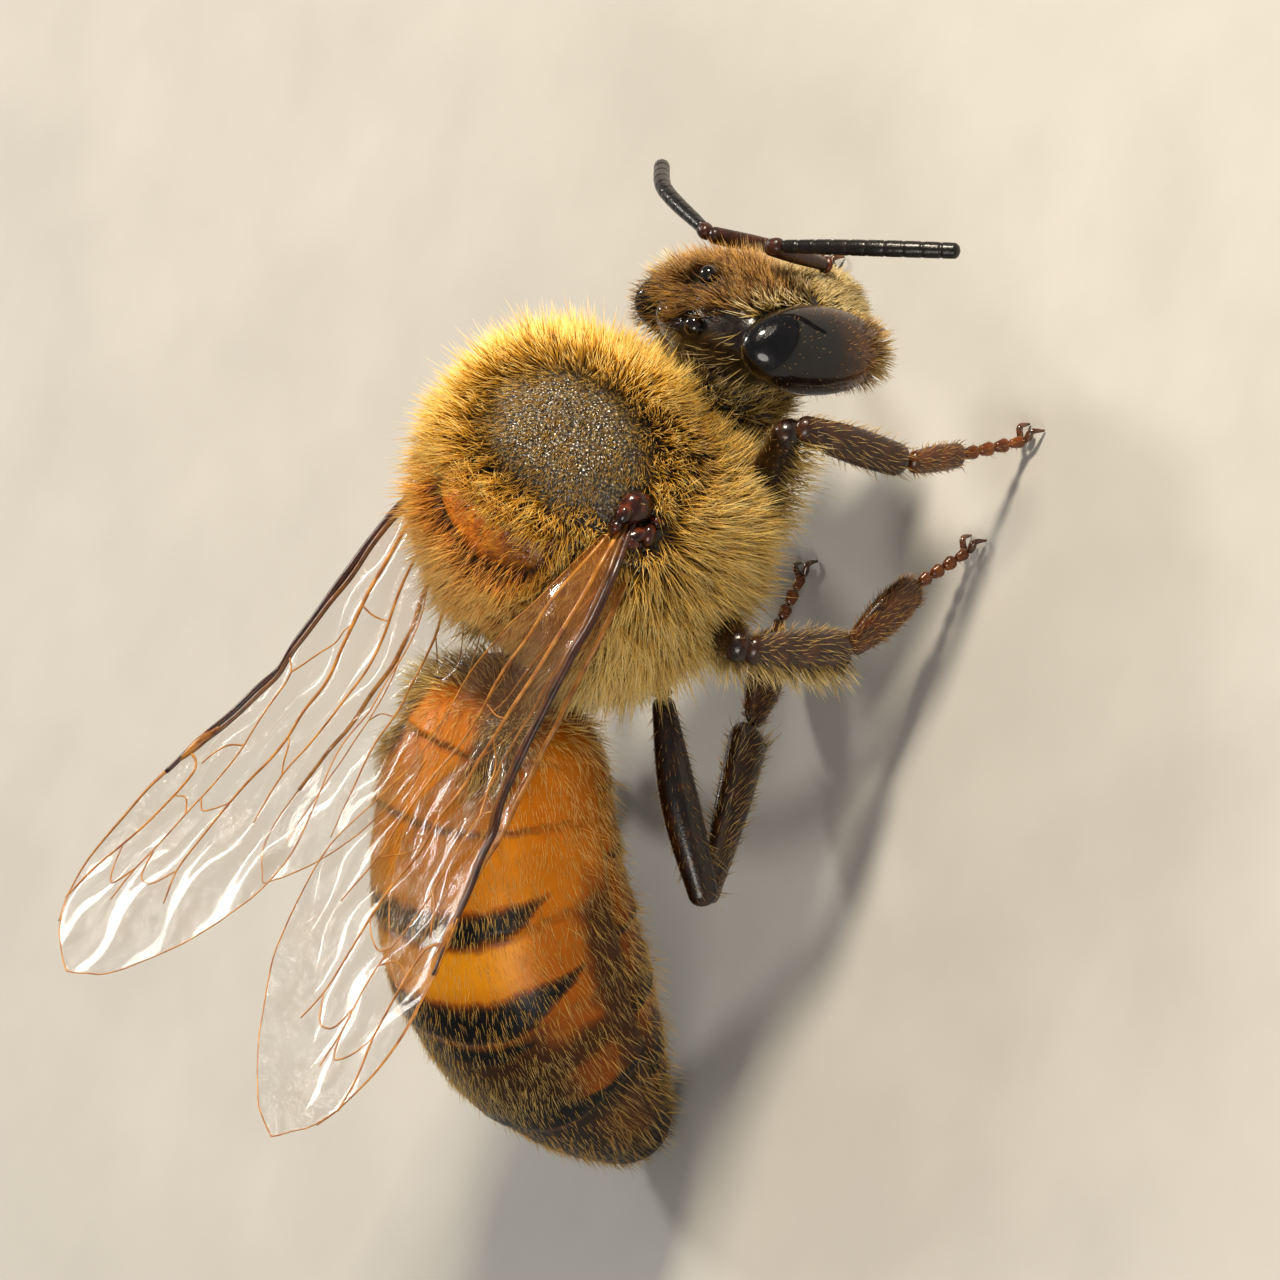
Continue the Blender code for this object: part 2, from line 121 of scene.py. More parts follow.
class Hull:
    """A round body along a line.  line(run) gives middles and directions in the part's own frame,
    turn 0 is on the zero side and 90 is to the bee's right, and relief raises the surface."""

    def __init__(self, matrix, line, across, above, below, side=(0, 1, 0), zero=1.0, relief=None):
        self.matrix, self.line, self.side, self.zero = matrix, line, np.array(side, float), zero
        self.across, self.above, self.below, self.relief = across, above, below, relief

    def spot(self, run, turn, lift=0.0):
        run, turn = np.broadcast_arrays(np.asarray(run, float), np.asarray(turn, float))
        middle, ahead = self.line(run)
        side = unit(self.side - ahead * (ahead @ self.side)[..., None])
        top = self.zero * np.cross(ahead, side)
        round_it = np.radians(turn)
        cosine, sine = np.cos(round_it), np.sin(round_it)
        tall = np.where(cosine > 0, self.above(run), self.below(run))
        wide = self.across(run)
        extra = lift + (self.relief(run, turn) if self.relief else 0.0)
        point = (middle - side * (sine * (wide + extra))[..., None]
                 + top * (cosine * (tall + extra))[..., None])
        return placed(self.matrix, point)

    def grain(self, run, turn):
        """Points, outward normals, and the directions along and round the hull."""
        run = np.clip(run, 0.004, 0.996)
        point = self.spot(run, turn)
        along = self.spot(run + 0.003, turn) - self.spot(run - 0.003, turn)
        round_it = self.spot(run, turn + 0.5) - self.spot(run, turn - 0.5)
        normal = np.cross(along, round_it)
        middle = placed(self.matrix, self.line(run)[0])
        flip = np.sign(np.sum(normal * (point - middle), axis=-1, keepdims=True))
        return point, unit(normal * flip), along / 0.006, round_it / math.radians(1.0)


def bent_line(points):
    """A smooth line through points."""
    spots = np.array(points, float)
    steps = np.r_[0, np.cumsum(np.linalg.norm(np.diff(spots, axis=0), axis=1))]
    tables = [list(zip(steps / steps[-1], spots[:, axis])) for axis in range(3)]

    def at(run):
        return np.stack([smooth(table, run) for table in tables], -1)

    def line(run):
        run = np.asarray(run, float)
        return at(run), unit(at(np.minimum(run + 0.01, 1)) - at(np.maximum(run - 0.01, 0)))
    return line


def limb(points, radii, flat=1.0, side=(0, 0, 1), matrix=None, relief=None):
    """A round-ended limb; radii are spread along it and flat narrows it across its side axis."""
    line = bent_line(points)
    ends = line(np.array([0.0, 1.0]))[0]
    length = max(np.linalg.norm(ends[1] - ends[0]), 1e-6)
    table = [(index / (len(radii) - 1), radius) for index, radius in enumerate(radii)]

    def tall(run):
        size = smooth(table, run)
        first, last = radii[0] / length * 0.8, radii[-1] / length * 0.8
        near = np.clip((first - run) / first, 0, 1)
        far = np.clip((run - 1 + last) / last, 0, 1)
        return size * np.sqrt(np.maximum(1 - near**2, 0)) * np.sqrt(np.maximum(1 - far**2, 0))

    def wide(run):
        return tall(run) * flat
    return Hull(matrix or Matrix.Identity(4), line, wide, tall, tall, side=side, relief=relief)


# ---------------------------------------------------------------- meshes
class Build:
    """Gathers points, faces, bake places and named values until they become one object."""

    def __init__(self):
        self.points, self.loops, self.sizes, self.patches = [], [], [], []
        self.fields, self.slots, self.count = {}, [], 0

    def add(self, points, loops, sizes, patches, slot=0, **fields):
        self.points.append(points)
        self.loops.append(loops + self.count)
        self.sizes.append(sizes)
        self.patches.append(patches)
        self.slots.append(np.full(len(sizes), slot))
        for name in set(self.fields) | set(fields):
            held = self.fields.setdefault(name, [np.zeros(self.count)] if self.count else [])
            held.append(np.broadcast_to(fields.get(name, 0.0), (len(points),)))
        self.count += len(points)

    def finish(self, name, materials):
        points, loops, sizes, patches, slots = (
            np.concatenate(part) for part in
            (self.points, self.loops, self.sizes, self.patches, self.slots))
        mesh = bpy.data.meshes.new(name)
        mesh.vertices.add(len(points))
        mesh.vertices.foreach_set("co", (points * MM).astype(np.float32).ravel())
        mesh.loops.add(len(loops))
        mesh.loops.foreach_set("vertex_index", loops.astype(np.int32))
        mesh.polygons.add(len(sizes))
        starts = np.r_[0, np.cumsum(sizes)[:-1]]
        mesh.polygons.foreach_set("loop_start", starts.astype(np.int32))
        mesh.polygons.foreach_set("material_index", slots.astype(np.int32))
        mesh.polygons.foreach_set("use_smooth", np.ones(len(sizes), bool))
        places = mesh.uv_layers.new(name="OFBake")
        places.data.foreach_set("uv", patches.astype(np.float32).ravel())
        for field, parts in self.fields.items():
            held = mesh.attributes.new(field, "FLOAT", "POINT")
            held.data.foreach_set("value", np.concatenate(parts).astype(np.float32))
        mesh.update(calc_edges=True)
        mesh.validate()
        thing = bpy.data.objects.new(name, mesh)
        bpy.context.scene.collection.objects.link(thing)
        for made in materials:
            mesh.materials.append(made)
        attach(thing, "root")
        return thing


def tube_faces(rings, segments):
    """Faces of a closed tube whose points are its rings and then its two ends: the quads round
    it, the fan at its start and the fan at its end.  Also the ring and column of each quad."""
    ring, column = (part.ravel() for part in
                    np.meshgrid(np.arange(rings - 1), np.arange(segments), indexing="ij"))
    beside = (column + 1) % segments
    quads = np.stack([ring * segments + column, ring * segments + beside,
                      (ring + 1) * segments + beside, (ring + 1) * segments + column], -1)
    around = np.arange(segments)
    beside = (around + 1) % segments
    last_ring, ends = (rings - 1) * segments, rings * segments
    start = np.stack([np.full(segments, ends), beside, around], -1)
    end = np.stack([np.full(segments, ends + 1), last_ring + around, last_ring + beside], -1)
    return quads, start, end, ring, column


def wrap(build, hull, rings, segments, plot=(0, 0, 1, 1), slot=0, **fields):
    """A closed surface over a hull, with its bake places spread over a plot of the square."""
    runs = 0.5 - 0.5 * np.cos(np.pi * np.linspace(0, 1, rings + 2)[1:-1])
    turns = np.linspace(-180, 180, segments + 1)[:-1]
    run, turn = np.meshgrid(runs, turns, indexing="ij")
    points = hull.spot(run, turn).reshape(-1, 3)
    ends = placed(hull.matrix, hull.line(np.array([0.0, 1.0]))[0])
    points = np.vstack([points, ends])
    quads, low, high, ring, column = tube_faces(rings, segments)
    u, v = column / segments, runs[ring]
    u2, v2 = (column + 1) / segments, runs[ring + 1]
    quad_places = np.stack([np.stack([u, v], -1), np.stack([u2, v], -1), np.stack([u2, v2], -1),
                            np.stack([u, v2], -1)], 1)
    column = np.arange(segments)
    u, middle, u2 = column / segments, (column + 0.5) / segments, (column + 1) / segments
    low_places = np.stack([np.stack([middle, 0 * u], -1), np.stack([u2, 0 * u + runs[0]], -1),
                           np.stack([u, 0 * u + runs[0]], -1)], 1)
    high_places = np.stack([np.stack([middle, 0 * u + 1], -1), np.stack([u, 0 * u + runs[-1]], -1),
                            np.stack([u2, 0 * u + runs[-1]], -1)], 1)
    if hull.zero > 0:
        quads, quad_places = quads[:, ::-1], quad_places[:, ::-1]
        low, low_places, high, high_places = (part[:, ::-1] for part in
                                              (low, low_places, high, high_places))
    loops = np.concatenate([quads.ravel(), low.ravel(), high.ravel()])
    places = np.concatenate([part.reshape(-1, 2) for part in
                             (quad_places, low_places, high_places)])
    places = np.array(plot[:2]) + places * (np.array(plot[2:]) - np.array(plot[:2]))
    sizes = np.r_[np.full(len(quads), 4), np.full(len(low) + len(high), 3)]
    whole_run = np.r_[run.ravel(), 0.0, 1.0]
    whole_turn = np.r_[turn.ravel(), 0.0, 0.0]
    values = {name: (made(whole_run, whole_turn) if callable(made) else made)
              for name, made in fields.items()}
    build.add(points, loops, sizes, places, slot, run=whole_run, turn=whole_turn, **values)


SIDES = 3                       # corners round a hair
HAIR_PATCH = 0.003              # how much of the bake square's side a hair takes
EVEN_STEPS = (0.7548776662466927, 0.5698402909980532)     # steps that fill a square evenly
ROOT_DEPTH = 0.02               # how far a hair starts under the skin
FLOOR_ROOM = 0.02               # hairs whose tips would come lower than this are left out
WISP_GROWTH = 1.38              # how much longer a wisp is than its neighbours
LENGTH_RANGE = (0.70, 1.16)     # shortest and longest hair, as shares of the length asked for
LEAST_RISE = 0.10               # a hair leaves the skin at least this steeply
STRAY_BEND = 0.07               # how far a hair bends its own way


def strands(build, roots, ways, bends, lengths, widths, patches, steps=2, **fields):
    """Tapering hairs, each a curved three-sided spike of 6 * steps - 3 triangles."""
    count = len(roots)
    spans = np.linspace(0, 1, steps + 1)[:-1]
    ways = unit(ways)
    spare = np.where(np.abs(ways[:, 2:3]) < 0.8, np.array([[0.0, 0, 1]]), np.array([[1.0, 0, 0]]))
    first = unit(np.cross(ways, spare))
    second = np.cross(ways, first)
    lengths, widths = lengths[:, None], widths[:, None]

    def middle(share):
        return roots + lengths * (ways * share + bends * share**2)
    rings = []
    for share in spans:
        thick = widths * (1 - share) ** 0.6
        for corner in range(SIDES):
            angle = 2 * math.pi * corner / SIDES
            rings.append(middle(share) + thick * (first * math.cos(angle)
                                                  + second * math.sin(angle)))
    rings.append(middle(1.0))
    points = np.stack(rings, 1)
    each = points.shape[1]
    loops, places = [], []
    for step in range(steps - 1):
        for corner in range(SIDES):
            beside = (corner + 1) % SIDES
            loops.append([step * SIDES + corner, step * SIDES + beside,
                          (step + 1) * SIDES + beside, (step + 1) * SIDES + corner])
            low, high = spans[step] - 0.5, spans[step + 1] - 0.5
            left, right = corner / SIDES - 0.5, (corner + 1) / SIDES - 0.5
            places.append([(left, low), (right, low), (right, high), (left, high)])
    for corner in range(SIDES):
        beside = (corner + 1) % SIDES
        loops.append([(steps - 1) * SIDES + corner, (steps - 1) * SIDES + beside, steps * SIDES])
        left, right = corner / SIDES - 0.5, (corner + 1) / SIDES - 0.5
        low = spans[-1] - 0.5
        places.append([(left, low), (right, low), ((left + right) / 2, 0.5)])
    sizes = np.tile([len(face) for face in loops], count)
    corners = np.concatenate(loops)
    whole = (np.arange(count)[:, None] * each + corners).ravel()
    spread = np.concatenate(places) * HAIR_PATCH
    patches = np.clip(patches, HAIR_PATCH, 1 - HAIR_PATCH)
    patches = (patches[:, None, :] + spread).reshape(-1, 2)
    along = np.r_[np.repeat(spans, SIDES), 1.0]
    values = {name: np.repeat(value, each) for name, value in fields.items()}
    build.add(points.reshape(-1, 3), whole, sizes, patches, along=np.tile(along, count),
              **values)


def scatter(hull, per_mm2, runs, turns, share=None):
    """Hair roots spread evenly over a stretch of a hull, thinned by share(run, turn)."""
    probe = chance.uniform(size=(4000, 2))
    run = runs[0] + probe[:, 0] * (runs[1] - runs[0])
    turn = turns[0] + probe[:, 1] * (turns[1] - turns[0])
    _, _, along, around = hull.grain(run, turn)
    patch = (runs[1] - runs[0]) * math.radians(turns[1] - turns[0])
    area = np.linalg.norm(np.cross(along, around), axis=1) * patch
    most = area.max()
    tries = int(per_mm2 * most)
    order = np.arange(tries)
    run = runs[0] + (0.5 + order * EVEN_STEPS[0]) % 1.0 * (runs[1] - runs[0])
    turn = turns[0] + (0.5 + order * EVEN_STEPS[1]) % 1.0 * (turns[1] - turns[0])
    run = np.clip(run + chance.normal(size=tries) * 0.004, *runs)
    _, _, along, around = hull.grain(run, turn)
    area = np.linalg.norm(np.cross(along, around), axis=1) * patch
    wanted = area / most * (share(run, turn) if share else 1.0)
    kept = chance.uniform(size=tries) < wanted
    return run[kept], turn[kept]


def lock_heads(points, each):
    """For every root, the root at the middle of its lock, each of about so many hairs."""
    heads = np.arange(each // 2, len(points), each)
    tree = KDTree(len(heads))
    for place, head in enumerate(heads):
        tree.insert(points[head], place)
    tree.balance()
    return heads[np.array([tree.find(point)[1] for point in points])]


def coat(build, hull, run, turn, length, lean, lie, width=0.011, mess=0.18, clump=0.25,
         clump_size=0.5, curl=0.2, seed=1, steps=2, gather=0.0, each=24, wisps=0.0, avoid=None,
         **fields):
    """Hairs at their roots.  lean 0 stands straight out and 1 lies flat along lie, which gives
    the shares of the along and round directions.  gather draws the tips of each lock together,
    and wisps is the share of hairs that stand longer and straighter than the rest."""
    point, normal, along, around = hull.grain(run, turn)
    along, around = unit(along), unit(around)
    count = len(point)
    flow = unit(along * np.broadcast_to(lie[0], (count,))[:, None]
                + around * np.broadcast_to(lie[1], (count,))[:, None])
    lean = np.broadcast_to(lean, (count,))[:, None]
    tuft = wander(point, clump_size, seed)
    tuft -= normal * np.sum(tuft * normal, axis=1, keepdims=True)
    heads = lock_heads(point, each)
    own = chance.normal(size=(count, 3)) * mess
    ways = (normal * (1 - lean) + flow * lean + tuft * clump + 0.5 * own[heads] + own)
    dip = np.sum(ways * normal, axis=1, keepdims=True)
    ways = ways + normal * np.maximum(LEAST_RISE - dip, 0)
    vary = chance.uniform(*LENGTH_RANGE, count)
    lengths = np.broadcast_to(length, (count,)) * (0.6 * vary + 0.4 * vary[heads])
    wisp = chance.uniform(size=count) < wisps
    lengths = lengths * np.where(wisp, WISP_GROWTH, 1.0)
    ways = ways + normal * (0.35 * wisp)[:, None]
    bends = flow * (curl * (0.4 + lean)) + chance.normal(size=(count, 3)) * STRAY_BEND
    pull = np.broadcast_to(gather, (count,)) * np.where(wisp, 0.3, 1.0)
    bends = bends + (point[heads] - point) * (pull / lengths)[:, None]
    thick = np.broadcast_to(width, (count,)) * chance.uniform(0.8, 1.2, count)
    tips = point + (unit(ways) + bends) * lengths[:, None]
    kept = tips[:, 2] > FLOOR_ROOM
    if avoid is not None:
        kept &= ~avoid(point, ways, lengths)
    values = {name: np.broadcast_to(value, (count,))[kept] for name, value in fields.items()}
    patches = np.stack([(turn + 180) / 360, run], -1)
    shade = chance.uniform(size=count)
    strands(build, (point - normal * ROOT_DEPTH)[kept], ways[kept], bends[kept], lengths[kept],
            thick[kept], patches[kept], steps=steps,
            tint=(0.55 * shade + 0.45 * shade[heads])[kept], **values)


# ---------------------------------------------------------------- materials
def linear(code):
    """An sRGB hex colour as linear red, green, blue and alpha."""
    parts = [int(code[start:start + 2], 16) / 255 for start in (1, 3, 5)]
    return tuple(part / 12.92 if part <= 0.04045 else ((part + 0.055) / 1.055) ** 2.4
                 for part in parts) + (1.0,)


def new_material(name, **sockets):
    """A material, its nodes and its shader, with the sockets that hold one value set."""
    made = bpy.data.materials.new(name)
    made.use_nodes = True
    shader = made.node_tree.nodes["Principled BSDF"]
    for socket, value in sockets.items():
        shader.inputs[socket.replace("_", " ")].default_value = value
    return made, made.node_tree, shader


def add(tree, kind, settings=None, links=(), out=0):
    """Adds a node with its settings and links, and gives one of its outputs.  Links are values
    or other nodes' outputs, in order or by name, and the stops of a colour ramp are pairs of a
    place and a hex colour or grey level."""
    made = tree.nodes.new("ShaderNode" + kind)
    settings = dict(settings or {})
    for index, (place, colour) in enumerate(settings.pop("stops", ())):
        bar = made.color_ramp.elements
        while index == 0 and len(bar) > 1:
            bar.remove(bar[-1])
        stop = bar.new(place) if index else bar[0]
        stop.position = place
        stop.color = linear(colour) if isinstance(colour, str) else (colour,) * 3 + (1.0,)
    for name, value in settings.items():
        setattr(made, name, value)
    for name, value in links.items() if isinstance(links, dict) else enumerate(links):
        if isinstance(value, bpy.types.NodeSocket):
            tree.links.new(value, made.inputs[name])
        else:
            made.inputs[name].default_value = value
    return made.outputs[out]


PLUS, MINUS, TIMES, TIMES_PLUS, LARGER, NO_SIGN = (
    {"operation": name} for name in
    ("ADD", "SUBTRACT", "MULTIPLY", "MULTIPLY_ADD", "MAXIMUM", "ABSOLUTE"))
SMOOTH = {"interpolation_type": "SMOOTHSTEP"}
COLOURS = {"data_type": "RGBA"}
MICRON = 1e-6                   # in metres, which node sizes are in


def join(tree, shader, **outputs):
    """Links nodes' outputs to the shader's sockets."""
    for socket, output in outputs.items():
        tree.links.new(output, shader.inputs[socket.replace("_", " ")])


def mottled(tree, at, size_mm, detail, *tones):
    """Colours that drift over clouds of one size, one for each list of stops."""
    cloud = add(tree, "TexNoise", None, {"Vector": at, "Scale": 1000 / size_mm, "Detail": detail})
    return [add(tree, "ValToRGB", {"stops": stops}, [cloud]) for stops in tones]


def painted(tree, name, first, second):
    """The first colour, giving way to the second by the value called name at each point."""
    share = add(tree, "Attribute", {"attribute_name": name}, out="Fac")
    return add(tree, "Mix", COLOURS, {0: share, 6: first, 7: second}, 2)


def grained(name, cloud_mm, detail, *tones, paint=None, grain=None, **sockets):
    """A material in one mottled tone, or two shared by the value called paint, over grain given
    by its size in mm, its detail and its depth in thousandths of a millimetre."""
    made, tree, shader = new_material(name, **sockets)
    at = add(tree, "TexCoord", out="Object")
    colours = mottled(tree, at, cloud_mm, detail, *tones)
    join(tree, shader, Base_Color=painted(tree, paint, *colours) if paint else colours[0])
    if grain:
        size_mm, detail, depth = grain
        height = add(tree, "TexNoise", None,
                     {"Vector": at, "Scale": 1000 / size_mm, "Detail": detail})
        join(tree, shader, Normal=add(tree, "Bump", None, {
            "Height": height, "Distance": depth * MICRON, "Strength": 1.0}))
    return made


def stripe(tree, place, start, end, soft):
    """1 from start to end along a value, and 0 outside."""
    sides = [add(tree, "MapRange", SMOOTH, [add(tree, "Math", MINUS, pair), -soft, soft])
             for pair in ([place, start], [end, place])]
    return add(tree, "Math", TIMES, sides)


# how black the plates are, 0 amber to 1 black, along the back, the flanks and the belly
# the dark where the abdomen meets the waist, and the thin dark lines at the back plates' rear
# edges, are partly the plates' own dark and partly painted shadow, in the waist and in the step
# where each plate laps over the next
BACK_SHADES = [(0.00, 0.85), (0.05, 0.50), (0.08, 0.20), (0.135, 0.14), (0.142, 0.42),
               (0.150, 0.16), (0.248, 0.12), (0.256, 0.40), (0.264, 0.10), (0.350, 0.08),
               (0.410, 0.14), (0.425, 0.00), (0.470, 0.00), (0.500, 0.10), (0.556, 0.42),
               (0.562, 0.50), (0.600, 0.66), (0.660, 0.70), (0.700, 0.80), (0.730, 0.62),
               (0.742, 0.78), (0.820, 0.74), (0.900, 0.88), (1.0, 0.96)]
FLANK_SHADES = [(0.00, 0.70), (0.05, 0.34), (0.10, 0.16), (0.24, 0.18), (0.36, 0.14),
                (0.48, 0.24), (0.56, 0.26), (0.590, 0.30), (0.612, 0.56), (0.636, 0.62),
                (0.655, 0.40), (0.700, 0.36), (0.716, 0.48), (0.732, 0.78), (0.748, 0.72),
                (0.775, 0.56), (0.840, 0.52), (0.900, 0.86), (1.0, 0.94)]
BELLY_SHADES = [(0.00, 0.60), (0.06, 0.30), (0.19, 0.22), (0.205, 0.55), (0.215, 0.20),
                (0.33, 0.24), (0.35, 0.66), (0.36, 0.22), (0.48, 0.36), (0.495, 0.82),
                (0.505, 0.28), (0.60, 0.58), (0.645, 0.92), (0.658, 0.34), (0.74, 0.60),
                (0.79, 0.95), (0.802, 0.48), (0.88, 0.85), (1.0, 0.92)]


def abdomen_markings(tree, at):
    """The dark share of the abdomen's plates, 0 amber to 1 black: bands across the back at the rear
    of each plate, which narrow down the flanks, and spots along the belly plates. Low on each flank
    it darkens, partly the darker belly side and partly painted shade, and under the side tufts of
    the first plates it carries painted shade."""
    cloud = add(tree, "TexNoise", None, {"Vector": at, "Scale": 1000 / 0.30, "Detail": 4.0})
    ragged = add(tree, "Math", MINUS, [cloud, 0.5])
    ring, turn = (add(tree, "Attribute", {"attribute_name": name}, out="Fac")
                  for name in ("ring", "turn"))
    ring = add(tree, "Math", TIMES_PLUS, [ragged, 0.020, ring])
    turn = add(tree, "Math", NO_SIGN, [add(tree, "Math", MINUS, [turn, 8.0])])
    turn = add(tree, "Math", TIMES_PLUS, [ragged, 14.0, turn])
    edges = [add(tree, "MapRange", SMOOTH, [turn, *ends]) for ends in
             ((40, 96, 0.414, 0.352), (40, 112, 0.556, 0.488), (34, 70, 0.596, 0.552),
              (30, 85, 0.672, 0.712))]
    bands = [(0.374, edges[0], 0.018), (0.502, edges[1], 0.018), (0.566, edges[2], 0.012),
             (edges[3], 0.729, 0.010)]
    base, flank, belly = (add(tree, "ValToRGB", {"stops": stops}, [ring])
                          for stops in (BACK_SHADES, FLANK_SHADES, BELLY_SHADES))
    # darker low on each flank: partly the darker belly side and partly painted shade where the
    # flank turns from the light
    low = add(tree, "Math", TIMES, [add(tree, "MapRange", SMOOTH, [turn, 74, 96]),
                                    add(tree, "MapRange", SMOOTH, [ring, 0.28, 0.48, 0.0, 0.62])])
    # painted shade on the skin under and between the pale side tufts of the first two plates
    tuft_shade = add(tree, "Math", TIMES, [stripe(tree, ring, 0.055, 0.190, 0.030),
                                      stripe(tree, turn, 26.0, 56.0, 8.0)])
    beside = add(tree, "MapRange", SMOOTH, [turn, 50, 72])
    upper = add(tree, "Mix", COLOURS, {0: beside, 6: base, 7: flank}, 2)
    for dark in [stripe(tree, ring, *band) for band in bands] + [
            low, add(tree, "Math", TIMES, [tuft_shade, 0.60])]:
        upper = add(tree, "Math", LARGER, [upper, dark])
    under = add(tree, "MapRange", SMOOTH, [turn, 104, 120])
    return add(tree, "Mix", COLOURS, {0: under, 6: upper, 7: belly}, 2)


def cuticle(name, colours, roughness, coat_weight, grain_um, pore_mm, shine=0.28):
    """Bee shell: hardened chitin, smooth and lacquered with fine pores, so it shines softly."""
    made, tree, shader = new_material(name, Roughness=roughness, Specular_IOR_Level=shine,
                                      Coat_Weight=coat_weight, Coat_Roughness=0.16)
    at = add(tree, "TexCoord", out="Object")
    pores = add(tree, "TexVoronoi", None, {"Vector": at, "Scale": 1000 / pore_mm})
    swell, wear = (add(tree, "TexNoise", None,
                       {"Vector": at, "Scale": 1000 / size_mm, "Detail": detail})
                   for size_mm, detail in ((0.25, 2.0), (0.12, 3.0)))
    height = add(tree, "Math", PLUS, [add(tree, "Math", TIMES, [pores, 0.6]), swell])
    join(tree, shader, Base_Color=colours(tree, at),
         Normal=add(tree, "Bump", None,
                    {"Height": height, "Distance": grain_um * MICRON, "Strength": 1.0}),
         Roughness=add(tree, "MapRange", SMOOTH,
                       [wear, 0.25, 0.75, roughness - 0.08, roughness + 0.14]))
    return made


def thorax_colours(tree, at):
    """Dark brown shell, sooty on the bare disc of the back and honey coloured on the scutellum."""
    plain, amber = mottled(tree, at, 0.30, 4.0,
                           [(0.25, "#120B05"), (0.55, "#261808"), (0.8, "#422B0E")],
                           [(0.25, "#8E4406"), (0.5, "#CC6E08"), (0.8, "#F0A020")])
    disc, = mottled(tree, at, 0.05, 3.0, [(0.30, "#0D0904"), (0.50, "#2C2110"), (0.68, "#74602F")])
    return painted(tree, "amber", painted(tree, "disc", plain, disc), amber)


def head_colours(tree, at):
    """Near black shell, paler brown on the upper lip and the plate over it."""
    return painted(tree, "amber", *mottled(
        tree, at, 0.20, 4.0, [(0.3, "#0C0806"), (0.6, "#1B130C"), (0.85, "#2E2114")],
        [(0.3, "#4A2A10"), (0.7, "#7E5020")]))


def abdomen_colours(tree, at):
    """Amber plates banded with black, through red brown at the edges of each band."""
    cloud = add(tree, "TexNoise", None, {"Vector": at, "Scale": 1000 / 0.5, "Detail": 3.0})
    patchy = add(tree, "Math", TIMES, [add(tree, "Math", MINUS, [cloud, 0.5]), 0.10])
    tone = add(tree, "Math", PLUS, [abdomen_markings(tree, at), patchy])
    return add(tree, "ValToRGB", {"stops": [
        (0.0, "#DB8C0A"), (0.08, "#C07204"), (0.20, "#9E5402"), (0.38, "#703602"),
        (0.55, "#422204"), (0.72, "#211204"), (0.88, "#0B0705"), (1.0, "#040303")]}, [tone])


def leg_colours(tree, at):
    """Near black thighs and shins, red brown at the joints and amber brown on the feet."""
    return painted(tree, "amber", *mottled(
        tree, at, 0.18, 3.0, [(0.3, "#0C0603"), (0.55, "#1D0E05"), (0.8, "#42210A")],
        [(0.3, "#3E1C06"), (0.6, "#74390C"), (0.85, "#A0621E")]))


# hair ramps from root, 0, to tip, 1: the dark roots are painted shade deep in the coat and the
# bright tips are a painted glow of light through the hairs
GOLD = [(0.0, "#2E1C04"), (0.32, "#8E5E0E"), (0.64, "#DBA324"), (1.0, "#FCE08A")]
STRAW = [(0.0, "#4A380E"), (0.32, "#A68C42"), (0.64, "#E2CC80"), (1.0, "#FDF3CC")]
UMBER = [(0.0, "#120A04"), (0.35, "#33200B"), (0.7, "#6E4A16"), (1.0, "#B4883C")]
AMBER = [(0.0, "#3C1A03"), (0.28, "#9C560A"), (0.60, "#DE8A14"), (1.0, "#F8C24C")]


def hair_material(name, plain, pale):
    """Bee hair: feathered chitin bristles, coloured darker towards the root as painted shade deep
    in the coat and brighter towards the tip as a painted glow of light through the hair.
    """
    made, tree, shader = new_material(name, Roughness=0.42, Specular_IOR_Level=0.4,
                                      Sheen_Weight=0.12, Sheen_Roughness=0.35,
                                      Sheen_Tint=linear("#FFE2A0"))
    along, tint = (add(tree, "Attribute", {"attribute_name": value}, out="Fac")
                   for value in ("along", "tint"))
    jitter = add(tree, "Math", TIMES, [add(tree, "Math", MINUS, [tint, 0.5]), 0.45])
    place = add(tree, "Math", PLUS, [along, jitter])
    mix = add(tree, "ValToRGB", {"stops": plain}, [place])
    for value, stops in (("warm", AMBER), ("pale", pale), ("dark", UMBER)):
        mix = painted(tree, value, mix, add(tree, "ValToRGB", {"stops": stops}, [place]))
    join(tree, shader, Base_Color=mix)
    return made


head_cuticle = cuticle("head_chitin_black", head_colours, 0.26, 0.25, 5.0, 0.03)
thorax_cuticle = cuticle("thorax_chitin_dark_brown", thorax_colours, 0.30, 0.0, 26.0, 0.045, 0.55)
abdomen_cuticle = cuticle("abdomen_chitin_amber", abdomen_colours, 0.36, 0.05, 5.0, 0.03, 0.14)
leg_cuticle = cuticle("leg_chitin_red_brown", leg_colours, 0.24, 0.40, 5.0, 0.03)

# every hair's ramps run from painted shade at the root to a painted glow at the tip
thorax_hair = hair_material("thorax_hair_golden", GOLD, STRAW)
head_hair = hair_material(
    "head_hair_tawny", [(0.0, "#120802"), (0.35, "#3A2105"), (0.7, "#70490C"), (1.0, "#B8862C")],
    [(0.0, "#66501E"), (0.35, "#B4944A"), (0.7, "#E6D092"), (1.0, "#FCF2D2")])
abdomen_hair = hair_material(
    "abdomen_hair_golden", [(0.0, "#8A5A10"), (0.4, "#D89E34"), (1.0, "#FBDC8A")],
    [(0.0, "#7A6024"), (0.4, "#CDAA52"), (1.0, "#F7E4A8")])
leg_hair = hair_material(
    "leg_hair_brown", [(0.0, "#3A2008"), (0.4, "#80551E"), (1.0, "#D0A050")], STRAW)


# ---------------------------------------------------------------- the body's hulls
COAT_DEPTH = {"thorax": 0.50, "abdomen": 0.09}


def inset_tables(depth, *tables):
    """Each table of half sizes, made smaller all over by the depth of the coat."""
    made = []
    for table in tables:
        whole = max(value for _, value in table)
        made.append([(place, value * (1 - depth / whole)) for place, value in table])
    return made


